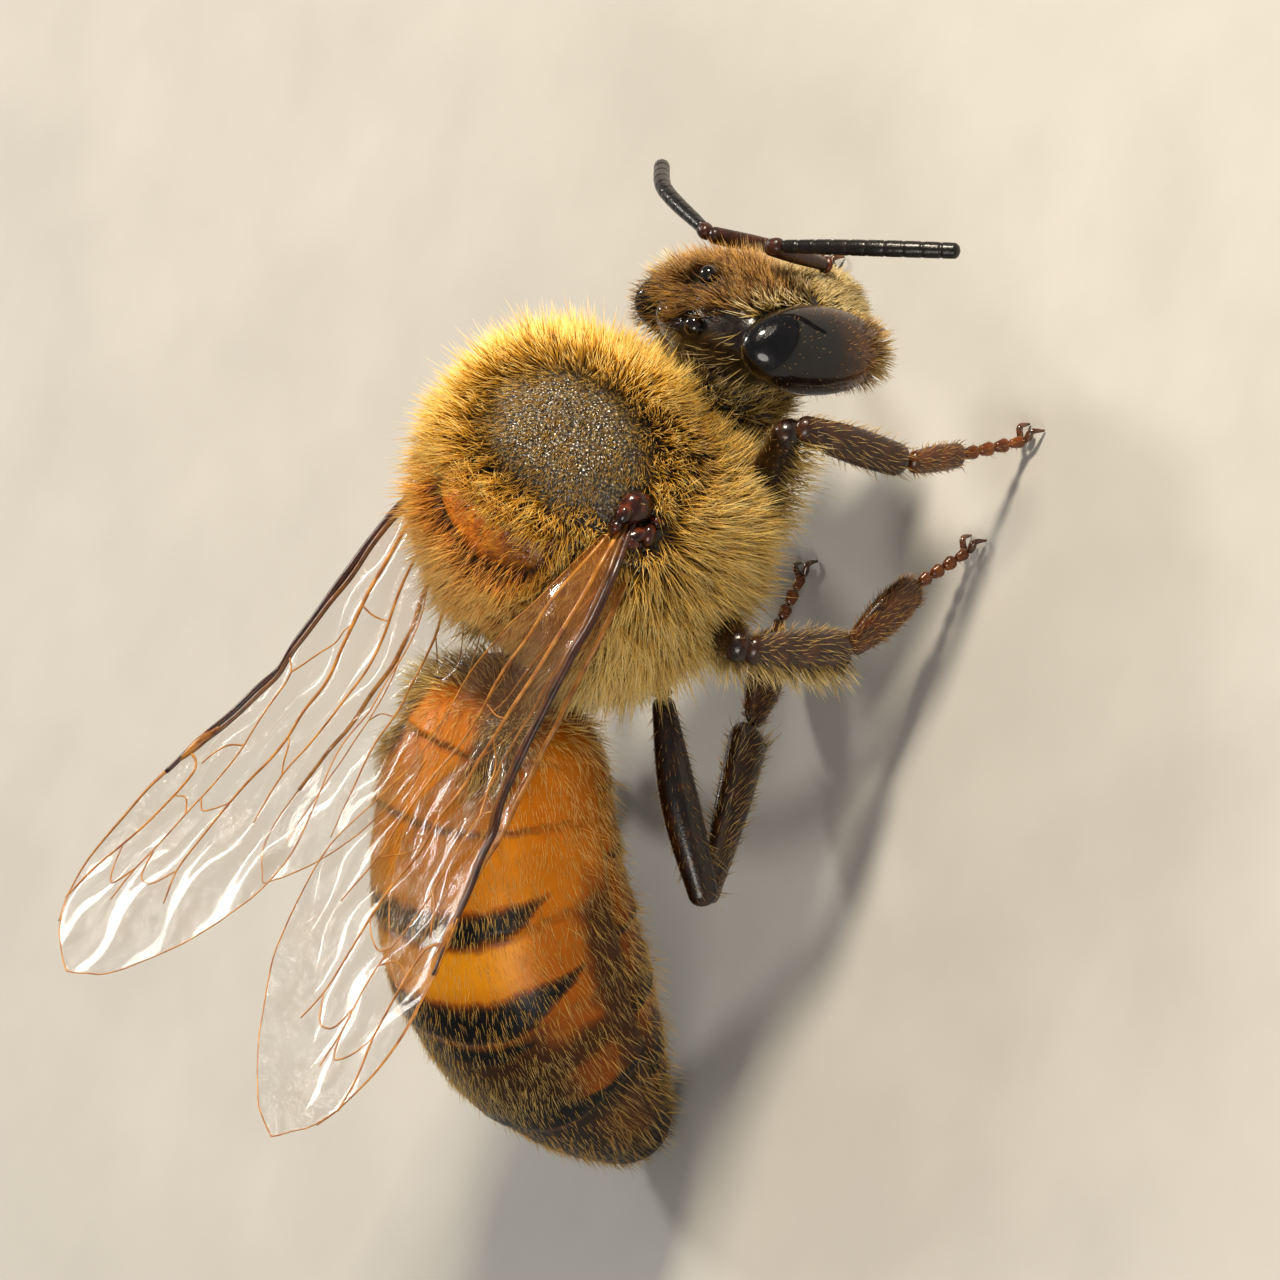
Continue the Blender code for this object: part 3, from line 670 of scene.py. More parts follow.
CHIN, CROWN = -1.33, 1.52       # heights in the head's own frame
HEAD_WIDTH = [(-1.33, 0.0), (-1.18, 0.44), (-0.9, 0.82), (-0.4, 1.28), (0.3, 1.52), (0.9, 1.42),
              (1.25, 0.99), (1.52, 0.0)]
HEAD_FRONT = [(-1.33, 0.26), (-1.10, 0.62), (-0.7, 0.84), (0.0, 0.86), (0.7, 0.82), (1.2, 0.62),
              (1.52, 0.10)]
HEAD_BACK = [(-1.33, 0.08), (-0.9, 0.36), (0.0, 0.56), (0.9, 0.60), (1.52, 0.08)]
EYE_HALF = (0.60, 0.50, 1.14)


def eye_matrix(sign):
    return (HEAD @ Matrix.Translation((0.06, 1.36 * sign, 0.16))
            @ Matrix.Rotation(math.radians(-7 * sign), 4, "X")
            @ Matrix.Rotation(math.radians(-14 * sign), 4, "Z"))


def head_level(run):
    """Height in the head's frame of a place from chin, 0, to crown, 1."""
    return (CROWN + CHIN) / 2 - (CROWN - CHIN) / 2 * np.cos(np.pi * np.asarray(run, float))


def head_hull():
    def line(run):
        level = head_level(run)
        way = np.zeros(level.shape + (3,))
        way[..., 2] = 1.0
        return np.stack([0 * level, 0 * level, level], -1), way

    def rounded(run):
        return np.minimum(1.0, 2.2 * np.sin(np.pi * np.clip(run, 0, 1))) ** 0.7

    def relief(run, turn):
        level, side = head_level(run), np.abs(turn)
        plate = (fade(side, 26, 34) * ease(level, -1.12, -1.02)
                 * fade(level, -0.58, -0.48))
        groove = hump(turn, 0, 5) * ease(level, -0.4, -0.2) * fade(level, 0.7, 0.95)
        cheek = hump(side, 52, 16) * hump(level, 0.1, 1.0)
        crown = hump(side, 60, 60) * ease(level, 0.95, 1.25)
        return (0.07 * plate - 0.03 * groove - 0.05 * cheek + 0.03 * crown) * np.sin(np.pi * run)

    return Hull(HEAD, line, lambda run: smooth(HEAD_WIDTH, head_level(run)),
                lambda run: smooth(HEAD_FRONT, head_level(run)) * rounded(run),
                lambda run: smooth(HEAD_BACK, head_level(run)) * rounded(run),
                zero=-1.0, relief=relief)


THORAX_LENGTH = 5.00
THORAX_WIDTH = [(0.0, 0.0), (0.04, 1.00), (0.12, 1.75), (0.25, 2.30), (0.45, 2.62), (0.62, 2.62),
                (0.78, 2.36), (0.90, 1.88), (0.97, 1.20), (1.0, 0.0)]
THORAX_TOP = [(0.0, 0.0), (0.04, 1.15), (0.12, 2.05), (0.22, 2.64), (0.40, 3.02), (0.62, 3.06),
              (0.78, 2.76), (0.90, 2.12), (0.97, 1.30), (1.0, 0.0)]
THORAX_BOTTOM = [(0.0, 0.0), (0.04, 0.80), (0.12, 1.38), (0.30, 1.88), (0.55, 2.06), (0.78, 1.90),
                 (0.92, 1.36), (0.97, 0.90), (1.0, 0.0)]
BACK_LEAN = 20.0                # turn of the ridge of the back, to the right of the trunk's top


def disc_share(run, turn):
    """1 on the bare disc of the scutum, 0 outside it."""
    away = ((run - 0.630) / 0.255) ** 2 + ((turn - 23.0) / 38.0) ** 2
    return fade(away, 0.48, 1.10)


def scutellum_share(run, turn):
    """1 on the raised crescent behind the scutum."""
    away = np.abs(turn - 18.0) / 30.0
    middle = 0.205 + 0.09 * away**2
    return fade(np.abs(run - middle), 0.040, 0.080) * fade(away, 0.84, 1.10)


def thorax_hull():
    depth = COAT_DEPTH["thorax"]
    tables = inset_tables(depth, THORAX_WIDTH, THORAX_TOP, THORAX_BOTTOM)
    spare = depth / THORAX_LENGTH

    def line(run):
        run = spare + (1 - 2 * spare) * np.asarray(run, float)
        way = np.zeros(run.shape + (3,))
        way[..., 0] = 1.0
        return np.stack([-THORAX_LENGTH * (0.535 - run), 0 * run, -0.05 + 0.06 * run], -1), way

    def relief(run, turn):
        lean = np.abs(turn - BACK_LEAN)
        crescent = scutellum_share(run, turn)
        bow = 0.320 + 0.07 * ((turn - 14.0) / 34.0) ** 2
        seam = hump(run, bow, 0.03) * fade(lean, 34, 52)
        side_seam = hump(turn, 62, 5) * ease(run, 0.35, 0.42) * fade(run, 0.70, 0.80)
        waist = fade(run, 0.04, 0.14) * fade(lean, 60, 110)
        dome = ease(run, 0.30, 0.42) * fade(run, 0.80, 0.98) * fade(lean, 40, 85)
        return (0.14 * crescent + 0.13 * dome - 0.10 * seam - 0.07 * side_seam
                - 0.10 * waist)

    return Hull(TRUNK, line, *sized(*tables), relief=relief)


ABDOMEN_LENGTH = 7.95
ABDOMEN_DROOP = [(0.0, 20.0), (0.3, 40.5), (0.6, 66.0), (0.85, 87.0), (1.0, 95.0)]
ABDOMEN_SWING = [(0.0, 1.0), (0.3, 17.0), (0.6, 15.0), (1.0, 0.0)]
ABDOMEN_WIDTH = [(0.0, 0.0), (0.03, 0.70), (0.10, 1.35), (0.22, 1.74), (0.40, 1.93), (0.55, 1.98),
                 (0.70, 1.78), (0.82, 1.36), (0.92, 0.86), (0.97, 0.52), (1.0, 0.0)]
ABDOMEN_TOP = [(0.0, 0.0), (0.03, 0.60), (0.10, 1.20), (0.22, 1.58), (0.40, 1.78), (0.55, 1.78),
               (0.70, 1.52), (0.82, 1.14), (0.92, 0.72), (0.97, 0.44), (1.0, 0.0)]
ABDOMEN_BOTTOM = [(0.0, 0.0), (0.03, 0.60), (0.10, 1.12), (0.22, 1.46), (0.40, 1.62), (0.55, 1.66),
                  (0.70, 1.50), (0.82, 1.18), (0.92, 0.78), (0.97, 0.48), (1.0, 0.0)]
BACK_EDGES = (0.142, 0.256, 0.410, 0.558, 0.732, 1.05)    # rear edges of the back plates
BELLY_EDGES = (0.215, 0.36, 0.50, 0.655, 0.80, 1.05)


def ring_place(run, turn):
    """Run along the abdomen, with the bow that the plates' rear edges take over the back."""
    bow = (0.034 * np.exp(-(((turn - 45.0) / 42.0) ** 2))
           + 0.012 * np.exp(-(((turn + 45.0) / 42.0) ** 2)))
    return run - bow * np.sin(np.pi * np.clip(run, 0, 1)) ** 0.5


def plate_steps(ring, edges, rise):
    """Height over plates that lap like tiles: each swells to its rear edge and then drops."""
    height = np.zeros_like(ring)
    before = 0.0
    for edge in edges:
        share = np.clip((ring - before) / (edge - before), 0, 1)
        inside = (ring >= before) & (ring < edge)
        height = np.where(inside, rise * share**1.3 * fade(share, 0.985, 1.0), height)
        before = edge
    return height


def abdomen_hull():
    depth = COAT_DEPTH["abdomen"]
    tables = inset_tables(depth, ABDOMEN_WIDTH, ABDOMEN_TOP, ABDOMEN_BOTTOM)
    steps = 800
    place = (np.arange(steps) + 0.5) / steps
    droop, swing = (np.radians(smooth(table, place)) for table in (ABDOMEN_DROOP, ABDOMEN_SWING))
    ways = np.stack([-np.cos(droop) * np.cos(swing), -np.sin(swing),
                     -np.sin(droop) * np.cos(swing)], -1)
    root = np.array([-1.95, 0.0, -0.50])
    path = np.vstack([root, root + np.cumsum(ways, axis=0) * ABDOMEN_LENGTH / steps])
    spare = depth / ABDOMEN_LENGTH

    def line(run):
        run = spare + (1 - 2 * spare) * np.asarray(run, float)
        nodes = np.linspace(0, 1, steps + 1)
        middle = np.stack([np.interp(run, nodes, path[:, axis]) for axis in range(3)], -1)
        way = np.stack([np.interp(run, place, ways[:, axis]) for axis in range(3)], -1)
        return middle, unit(way)

    def relief(run, turn):
        ring = ring_place(run, turn)
        side = np.abs(turn - 4.0)
        belly = ease(side, 112, 118)
        upper = plate_steps(ring, BACK_EDGES, 0.055)
        lower = plate_steps(ring, BELLY_EDGES, 0.05)
        fold = hump(side, 115, 6) * np.sin(np.pi * np.clip(run, 0, 1))
        return (upper * (1 - belly) + lower * belly - 0.06 * fold) * ease(run, 0.02, 0.10)

    return Hull(TRUNK, line, *sized(*tables), zero=-1.0, relief=relief)


HEAD_HULL, THORAX_HULL, ABDOMEN_HULL = head_hull(), thorax_hull(), abdomen_hull()
NECK_HULL = limb(((1.75, 0.0, -0.05), (3.15, 0.0, 0.05)), (0.80, 0.72, 0.70), side=(0, 1, 0),
                 matrix=TRUNK)

LEGS = {  # coxa, knee, shin end, heel, claw; from below the middle of the thorax
    "fore_right": ((0.62, -0.85, 2.46), (2.46, -2.10, 3.76), (2.55, -2.44, 1.98),
                   (2.88, -2.28, 1.04), (3.34, -2.22, 0.10)),
    "mid_right": ((-0.55, -0.88, 2.64), (-0.44, -2.97, 3.53), (-0.11, -2.56, 1.57),
                  (1.03, -2.30, 0.76), (1.66, -2.17, 0.10)),
    "hind_right": ((-1.70, -1.07, 2.96), (-4.02, -2.55, 1.80), (-1.95, -0.62, 0.86),
                   (-0.83, 0.31, 0.46), (0.02, 0.76, 0.10)),
    "fore_left": ((0.75, 0.85, 2.45), (1.80, 2.50, 2.75), (2.62, 3.15, 1.50),
                  (3.05, 3.10, 0.66), (3.70, 3.20, 0.10)),
    "mid_left": ((-0.35, 0.95, 2.45), (-0.30, 2.80, 3.20), (0.05, 3.45, 1.40),
                 (0.55, 3.75, 0.55), (1.20, 4.00, 0.10)),
    "hind_left": ((-1.35, 1.00, 2.65), (-3.10, 2.60, 2.70), (-3.90, 3.10, 0.95),
                  (-4.55, 3.35, 0.45), (-5.45, 3.65, 0.10)),
}
# radii of thigh, shin and sole, and how flat the shin and the sole are
LEG_SHAPE = {"fore": ((0.20, 0.28, 0.21), (0.17, 0.25, 0.22), (0.19, 0.17), 0.85, 0.75),
             "mid": ((0.21, 0.29, 0.22), (0.18, 0.30, 0.29), (0.29, 0.25), 0.78, 0.60),
             "hind": ((0.15, 0.27, 0.20), (0.17, 0.31, 0.37), (0.36, 0.30), 0.55, 0.45)}
TOE_RADIUS = 0.115


def leg_hulls(name):
    """The joints of one leg, from the hip to the last toe joint, with how amber each is."""
    kind, hand = name.split("_")
    coxa, knee, ankle, heel, claw = (np.array(point) + (GROUND[0], GROUND[1], 0)
                                     for point in LEGS[name])
    thigh, shin, sole, shin_flat, sole_flat = LEG_SHAPE[kind]
    outward = (0, 1 if hand == "left" else -1, 0)
    middle = (coxa + knee) / 2 + (0, 0, 0.10)
    body = np.array([coxa[0] * 0.8 + GROUND[0] * 0.2, coxa[1] * 0.55, coxa[2] + 0.45])
    joints = {
        "hip": (limb((body, coxa * 0.7 + body * 0.3, coxa), (0.34, 0.34, 0.22), side=outward), 0.0),
        "hip_ring": (limb((coxa * 1.02 - body * 0.02, coxa * 0.90 + middle * 0.10),
                          (0.18, 0.20, 0.17), side=outward), 0.35),
        "thigh": (limb((coxa * 0.92 + middle * 0.08, middle, knee), thigh, 0.88, outward), 0.0),
        "shin": (limb((knee * 0.97 + ankle * 0.03, (knee + ankle) / 2, ankle), shin, shin_flat,
                      outward), 0.12),
        "sole": (limb((ankle * 0.98 + heel * 0.02, (ankle + heel) / 2, heel), (0.15,) + sole,
                      sole_flat, outward), 0.45 if kind != "hind" else 0.2),
    }
    for index in range(4):      # four toe joints, which leave room for the claws
        start = heel + (claw - heel) * index / 4.2
        end = heel + (claw - heel) * (index + 0.97) / 4.2
        thick = TOE_RADIUS * (1.0 if index < 3 else 0.85)
        joints[f"toe_{index}"] = (limb((start, end), (thick * 0.55, thick * 0.8, thick),
                                       0.85, outward), 0.8)
    return joints


LEG_HULLS = {name: leg_hulls(name) for name in LEGS}


def build_skin():
    """One skin over the head, neck, thorax, abdomen and legs, under the coat."""
    skin = Build()
    wrap(skin, HEAD_HULL, 90, 120, (0.00, 0.00, 0.38, 0.22), 0,
         amber=lambda run, turn: hump(np.abs(turn), 0, 40) * fade(run, 0.20, 0.28))
    wrap(skin, THORAX_HULL, 120, 160, (0.00, 0.23, 0.50, 0.55), 1, disc=disc_share,
         amber=lambda run, turn: scutellum_share(run, turn) * (1 - 0.65 * ease(turn, 20, 38)))
    wrap(skin, ABDOMEN_HULL, 228, 160, (0.00, 0.56, 0.50, 1.00), 2, ring=ring_place)
    wrap(skin, NECK_HULL, 16, 48, (0.40, 0.00, 0.50, 0.22), 1)
    for row, joints in enumerate(LEG_HULLS.values()):
        for column, (hull, amber) in enumerate(joints.values()):
            left, low = 0.51 + column * 0.054, row * 0.166
            wrap(skin, hull, 26, 28, (left, low, left + 0.052, low + 0.16), 3, amber=amber)
    thing = skin.finish("skin", [head_cuticle, thorax_cuticle, abdomen_cuticle, leg_cuticle])
    legs = [f"{part}_{name}" for name in LEGS for part in ("femur", "tibia", "tarsus")]
    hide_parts("head", "neck", "thorax", "abdomen", *legs)


build_skin()


# ---------------------------------------------------------------- eyes
def ball(matrix, half, relief=None):
    """An egg shaped body: half sizes front to back, across and top to bottom."""
    def line(run):
        run = np.asarray(run, float)
        way = np.zeros(run.shape + (3,))
        way[..., 2] = 1.0
        return np.stack([0 * run, 0 * run, -half[2] * np.cos(np.pi * run)], -1), way

    def across(run):
        return half[1] * np.sin(np.pi * np.clip(run, 0, 1))

    def deep(run):
        return half[0] * np.sin(np.pi * np.clip(run, 0, 1))
    return Hull(matrix, line, across, deep, deep, zero=-1.0, relief=relief)


def eye_material():
    """Compound eye: thousands of clear facets over dark pigment, so it is glassy and black, with
    brown painted at its rim as a glow of light shining through the edge."""
    made, tree, shader = new_material("eye_facets_black", Roughness=0.16,
                                      Specular_IOR_Level=0.12, Coat_Weight=0.65,
                                      Coat_Roughness=0.045)
    at = add(tree, "TexCoord", out="Object")
    facets = add(tree, "TexVoronoi", {"feature": "DISTANCE_TO_EDGE"},
                 {"Vector": at, "Scale": 1000 / 0.032, "Randomness": 0.35})
    height = add(tree, "MapRange", SMOOTH, [facets, 0.0, 0.25])
    join(tree, shader,
         Base_Color=painted(tree, "rim", *mottled(
             tree, at, 0.10, 2.0, [(0.3, "#020205"), (0.7, "#070609")],
             [(0.3, "#4A2203"), (0.7, "#8A4E08")])),
         Normal=add(tree, "Bump", None,
                    {"Height": height, "Distance": 1.2 * MICRON, "Strength": 1.0}))
    return made


OCELLI = {"middle": (0.72, 0.0, 1.10), "left": (0.11, 0.38, 1.43), "right": (0.11, -0.38, 1.43)}


def build_eyes():
    facets = eye_material()
    # simple eye: one clear bead over dark pigment, so it holds one small sharp highlight
    bead = grained("ocellus_bead_black", 0.08, 2.0, [(0.3, "#060404"), (0.7, "#160C07")],
                   Roughness=0.08, Specular_IOR_Level=0.3, Coat_Weight=0.5, Coat_Roughness=0.03)
    for hand, sign in (("left", 1), ("right", -1)):
        hull = ball(eye_matrix(sign), EYE_HALF)

        # painted glow: brown where light would shine through the eye's edge, most towards its chin
        # end
        def rim(run, turn):
            low = fade(run, 0.14, 0.52)
            outward = turn * -sign % 360
            back = hump(outward, 175, 75) * fade(run, 0.55, 0.95)
            front = hump(outward, 10, 45) * fade(run, 0.35, 0.7)
            return np.clip(0.80 * low * (1 - 0.5 * back) + 0.05 * back + 0.30 * front, 0, 1)

        eye = Build()
        wrap(eye, hull, 70, 96, rim=rim)
        thing = eye.finish("compound_eye_" + hand, [facets])
        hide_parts("eye_" + hand)
    for name, at in OCELLI.items():
        bead_build = Build()
        wrap(bead_build, ball(HEAD @ Matrix.Translation(at), (0.15, 0.15, 0.145)), 24, 32)
        thing = bead_build.finish("ocellus_bead_" + name, [bead])
        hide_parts("ocellus_" + name)


# ---------------------------------------------------------------- feelers and mouth
FEELER_REACH = {"left": ((0.10, 0.40, 1.23), (0.45, 2.52, -0.45)),
                "right": ((0.28, -0.38, 1.19), (0.47, -2.00, -1.59))}
SCAPE_LENGTH, FLAGELLUM_LENGTH, FLAGELLUM_JOINTS = 1.25, 2.60, 10


def feeler_material():
    """Feeler shell: black chitin under a fine velvet of sense hairs, so only a thin line shines."""
    made, tree, shader = new_material("feeler_chitin_black", Roughness=0.30,
                                      Specular_IOR_Level=0.30, Coat_Weight=0.12,
                                      Coat_Roughness=0.18)
    at = add(tree, "TexCoord", out="Object")
    pits = add(tree, "TexVoronoi", None, {"Vector": at, "Scale": 1000 / 0.022})
    join(tree, shader,
         Base_Color=painted(tree, "amber", *mottled(
             tree, at, 0.10, 3.0, [(0.3, "#070505"), (0.7, "#16100D")],
             [(0.3, "#260F07"), (0.7, "#55240F")])),
         Normal=add(tree, "Bump", None,
                    {"Height": pits, "Distance": 2.5 * MICRON, "Strength": 1.0}))
    return made


def build_feelers():
    shell = feeler_material()
    for hand, sign in (("left", 1), ("right", -1)):
        up, out = (unit(np.array(way)) for way in FEELER_REACH[hand])
        root = np.array([1.04, 0.40 * sign, -0.42])
        elbow = root + up * SCAPE_LENGTH
        droop = np.array([0.0, 0.0, -0.14])
        tip = elbow + out * FLAGELLUM_LENGTH + droop
        middle = elbow + out * FLAGELLUM_LENGTH * 0.62 - droop * 0.9
        scape = Build()
        wrap(scape, limb((root - up * 0.05, root + up * 0.08), (0.13, 0.14, 0.13), matrix=HEAD),
             16, 28, amber=1.0)
        wrap(scape, limb((root + up * 0.02, root + up * 0.6, elbow), (0.085, 0.115, 0.12),
                         matrix=HEAD), 50, 28, amber=lambda run, turn: 0.6 - 0.3 * run)
        thing = scape.finish("scape_shell_" + hand, [shell])
        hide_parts("scape_" + hand)

        def knuckles(run, turn):
            place = run * FLAGELLUM_JOINTS
            away = np.abs(place - np.round(place))
            inside = (run > 0.04) & (run < 0.96)
            return np.where(inside, -0.010 * fade(away, 0.0, 0.12), 0.0)

        flagellum = Build()
        wrap(flagellum, limb((elbow - out * 0.02, elbow + out * 0.24), (0.085, 0.115, 0.10),
                             matrix=HEAD), 18, 28, amber=0.5)
        shaft = limb((elbow + out * 0.20, middle, tip), (0.088, 0.104, 0.110, 0.112, 0.108),
                     matrix=HEAD, relief=knuckles)
        wrap(flagellum, shaft, 150, 32, amber=0.0)
        thing = flagellum.finish("flagellum_shell_" + hand, [shell])
        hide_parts("flagellum_" + hand)


def build_mouth():
    # jaw and tongue shell: thin red brown chitin with a wet gloss
    shell = grained("mouth_chitin_red_brown", 0.20, 4.0,
                    [(0.3, "#1A0B06"), (0.55, "#44200D"), (0.8, "#733C16")],
                    grain=(0.05, 3.0, 4.0), Roughness=0.28, Coat_Weight=0.5, Coat_Roughness=0.15)
    for hand, sign in (("left", 1), ("right", -1)):
        jaw = Build()
        wrap(jaw, limb(((0.12, 0.56 * sign, -0.94), (0.17, 0.48 * sign, -1.24),
                        (0.18, 0.32 * sign, -1.44)), (0.15, 0.14, 0.17, 0.14), 0.60, (1, 0, 0),
                       HEAD), 40, 40)
        thing = jaw.finish("jaw_" + hand, [shell])
        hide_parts("mandible_" + hand)
    tongue = Build()
    folds = [((-0.18, 0.0, -1.22), (-0.62, 0.0, -0.92), (-0.80, 0.0, -0.10)),
             ((-0.20, 0.10, -1.20), (-0.60, 0.12, -0.86), (-0.76, 0.10, -0.16)),
             ((-0.20, -0.10, -1.20), (-0.60, -0.12, -0.86), (-0.76, -0.10, -0.16))]
    for points, thick in zip(folds, (0.10, 0.12, 0.12)):
        wrap(tongue, limb(points, (thick, thick * 1.1, thick * 0.7), 0.7, (0, 1, 0), HEAD), 36, 24)
    wrap(tongue, limb(((0.26, 0.26, -1.16), (0.30, 0.0, -1.28), (0.26, -0.26, -1.16)),
                      (0.11, 0.15, 0.11), 0.6, (1, 0, 0), HEAD), 30, 30)
    thing = tongue.finish("tongue_and_lip", [shell])
    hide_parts("proboscis")


# ---------------------------------------------------------------- feet and wing roots
def build_claws():
    """Two hooks and a pad on every foot."""
    # claw: the hardest chitin of the body, worn to a polish like horn
    shell = grained("claw_chitin_horn_brown", 0.08, 3.0, [(0.3, "#1C0D06"), (0.7, "#6A3A18")],
                    Roughness=0.25, Coat_Weight=0.6, Coat_Roughness=0.15)
    feet = Build()
    for name in LEGS:
        heel, claw = (np.array(LEGS[name][index]) + (GROUND[0], GROUND[1], 0) for index in (3, 4))
        ahead = unit(claw - heel)
        level = unit(ahead * (1, 1, 0))
        side = np.cross(level, (0, 0, 1))
        start = heel + (claw - heel) * 0.93
        for spread in (-1, 1):
            root = start + side * spread * 0.05
            elbow = start + level * 0.16 + side * spread * 0.13 + (0, 0, 0.03)
            tip = start + level * 0.24 + side * spread * 0.17
            tip[2] = 0.018
            wrap(feet, limb((root, elbow, tip), (0.045, 0.042, 0.016), side=(0, 0, 1)), 22, 14)
        pad = start + level * 0.10
        pad[2] = max(0.06, start[2] * 0.6)
        wrap(feet, ball(Matrix.Translation(pad), (0.09, 0.07, 0.045)), 14, 20)
    thing = feet.finish("claws", [shell])


WING_ROOT_PLATES = [  # place on the thorax, height over it, half sizes, and turn about upright
    (0.596, 57.5, 0.08, (0.25, 0.22, 0.16), 20), (0.552, 56.0, 0.14, (0.16, 0.12, 0.14), -10),
    (0.530, 61.0, 0.20, (0.20, 0.10, 0.14), 30), (0.556, 66.0, 0.14, (0.16, 0.11, 0.13), -30),
    (0.508, 56.5, 0.14, (0.12, 0.09, 0.12), 0), (0.500, 63.5, 0.24, (0.17, 0.09, 0.11), 60),
    (0.612, 66.0, 0.00, (0.14, 0.10, 0.10), 50)]


def build_wing_roots():
    """The small glossy plates that cap each wing's root."""
    # wing root shell: thick red brown chitin, bare and glossy
    made = grained("wing_root_chitin_red_brown", 0.15, 3.0,
                   [(0.3, "#100604"), (0.55, "#2E1008"), (0.8, "#6A2C10")],
                   grain=(0.06, 3.0, 6.0), Roughness=0.2, Specular_IOR_Level=0.3,
                   Coat_Weight=0.35, Coat_Roughness=0.06)
    roots = Build()
    for sign in (-1, 1):
        for run, turn, lift, half, roll in WING_ROOT_PLATES:
            place, normal, along, around = THORAX_HULL.grain(run, turn * -sign)
            axes = np.stack([unit(along), unit(np.cross(normal, along)), normal], 1)
            matrix = (Matrix([list(row) + [at] for row, at in
                              zip(axes, place + normal * lift)] + [[0, 0, 0, 1]])
                      @ Matrix.Rotation(math.radians(roll * sign), 4, "Z"))
            wrap(roots, ball(matrix, half), 24, 32)
    thing = roots.finish("wing_root_plates", [made])


# ---------------------------------------------------------------- wings
FORE_LENGTH, HIND_LENGTH = 9.55, 6.55
FORE_LEAD = [(0.0, -0.10), (0.15, -0.30), (0.30, -0.45), (0.47, -0.62), (0.62, -0.86),
             (0.74, -1.02), (0.85, -0.96), (0.92, -0.72), (0.96, -0.42), (0.985, -0.10),
             (0.995, 0.08), (1.0, 0.27)]
FORE_TRAIL = [(0.0, 0.12), (0.06, 0.32), (0.19, 0.86), (0.29, 1.36), (0.40, 1.44), (0.50, 1.62),
              (0.60, 2.08), (0.67, 2.22), (0.76, 2.12), (0.86, 1.68), (0.92, 1.28), (0.96, 0.95),
              (0.985, 0.66), (0.995, 0.49), (1.0, 0.31)]
HIND_LEAD = [(0.0, -0.08), (0.2, -0.12), (0.5, -0.10), (0.8, -0.12), (0.93, -0.05), (1.0, 0.28)]
HIND_TRAIL = [(0.0, 0.12), (0.10, 0.62), (0.22, 1.16), (0.34, 1.34), (0.46, 1.50), (0.62, 1.68),
              (0.80, 1.42), (0.92, 0.92), (1.0, 0.42)]
WINGS = {  # root, way to the tip, twist at the root in degrees, and height of the sheet
    "forewing_right": ((0.20, -1.45, 1.00), (-0.974, -0.180, -0.130), 24.0, 0.0),
    "forewing_left": ((0.20, 1.45, 1.00), (-0.995, 0.060, -0.055), 24.0, 0.0),
    "hindwing_right": ((-0.25, -1.42, 0.88), (-0.968, -0.230, -0.135), 20.0, -0.42),
    "hindwing_left": ((-0.25, 1.42, 0.84), (-0.990, -0.054, -0.100), 20.0, -0.42),
}
FORE_VEINS = {  # share of the length, and distance back from the middle line in millimetres
    "edge": [(0.01, -0.07), (0.15, -0.27), (0.30, -0.42), (0.47, -0.59), (0.62, -0.83),
             (0.70, -0.96)],
    "radius": [(0.01, 0.0), (0.15, -0.18), (0.30, -0.33), (0.45, -0.49), (0.56, -0.64),
               (0.64, -0.80)],
    "rim": [(0.66, -0.90), (0.74, -1.00), (0.85, -0.94), (0.92, -0.70), (0.955, -0.47)],
    "cell_top": [(0.655, -0.86), (0.66, -0.66), (0.675, -0.53), (0.74, -0.50), (0.81, -0.56),
                 (0.87, -0.68), (0.925, -0.70)],
    "sector": [(0.46, -0.50), (0.475, -0.28), (0.53, -0.19), (0.595, -0.10), (0.66, -0.02),
               (0.72, 0.04), (0.77, 0.05), (0.825, 0.02), (0.88, 0.06)],
    "basal": [(0.475, -0.28), (0.43, -0.10), (0.385, 0.10), (0.365, 0.24)],
    "second": [(0.595, -0.10), (0.612, -0.32), (0.655, -0.52)],
    "third": [(0.72, 0.04), (0.705, -0.22), (0.715, -0.50)],
    "fourth": [(0.825, 0.02), (0.862, -0.14), (0.850, -0.34), (0.815, -0.56)],
    "media": [(0.01, 0.04), (0.15, 0.06), (0.27, 0.14), (0.365, 0.24), (0.45, 0.38),
              (0.54, 0.50), (0.60, 0.58), (0.665, 0.62), (0.73, 0.66), (0.785, 0.72),
              (0.83, 0.92)],
    "first_back": [(0.69, 0.02), (0.70, 0.22), (0.685, 0.45), (0.665, 0.62)],
    "second_back": [(0.79, 0.05), (0.825, 0.22), (0.825, 0.48), (0.785, 0.72)],
    "cubital": [(0.54, 0.50), (0.565, 0.78), (0.585, 1.08)],
    "cross": [(0.335, 0.20), (0.335, 0.46), (0.325, 0.80)],
    "anal": [(0.01, 0.08), (0.08, 0.28), (0.18, 0.54), (0.325, 0.80), (0.44, 0.96),
             (0.53, 1.06), (0.585, 1.08), (0.66, 1.30)],
}
HIND_VEINS = {
    "edge": [(0.01, -0.05), (0.20, -0.10), (0.42, -0.09), (0.62, -0.10), (0.80, -0.11)],
    "sector": [(0.45, -0.07), (0.53, 0.06), (0.62, 0.18), (0.76, 0.26), (0.90, 0.30)],
    "media": [(0.02, 0.06), (0.15, 0.24), (0.28, 0.38), (0.38, 0.46), (0.50, 0.52), (0.60, 0.60),
              (0.72, 0.78), (0.84, 0.98)],
    "cross": [(0.60, 0.16), (0.575, 0.36), (0.565, 0.57)],
    "cubital": [(0.38, 0.46), (0.42, 0.66), (0.50, 0.98), (0.585, 1.36)],
    "anal": [(0.02, 0.10), (0.12, 0.36), (0.24, 0.72), (0.36, 1.04), (0.43, 1.26)],
}
VEIN_RADII = {"edge": (0.066, 0.036), "radius": (0.048, 0.034), "rim": (0.022, 0.010),
              "media": (0.042, 0.011), "anal": (0.032, 0.011), "cell_top": (0.020, 0.014)}
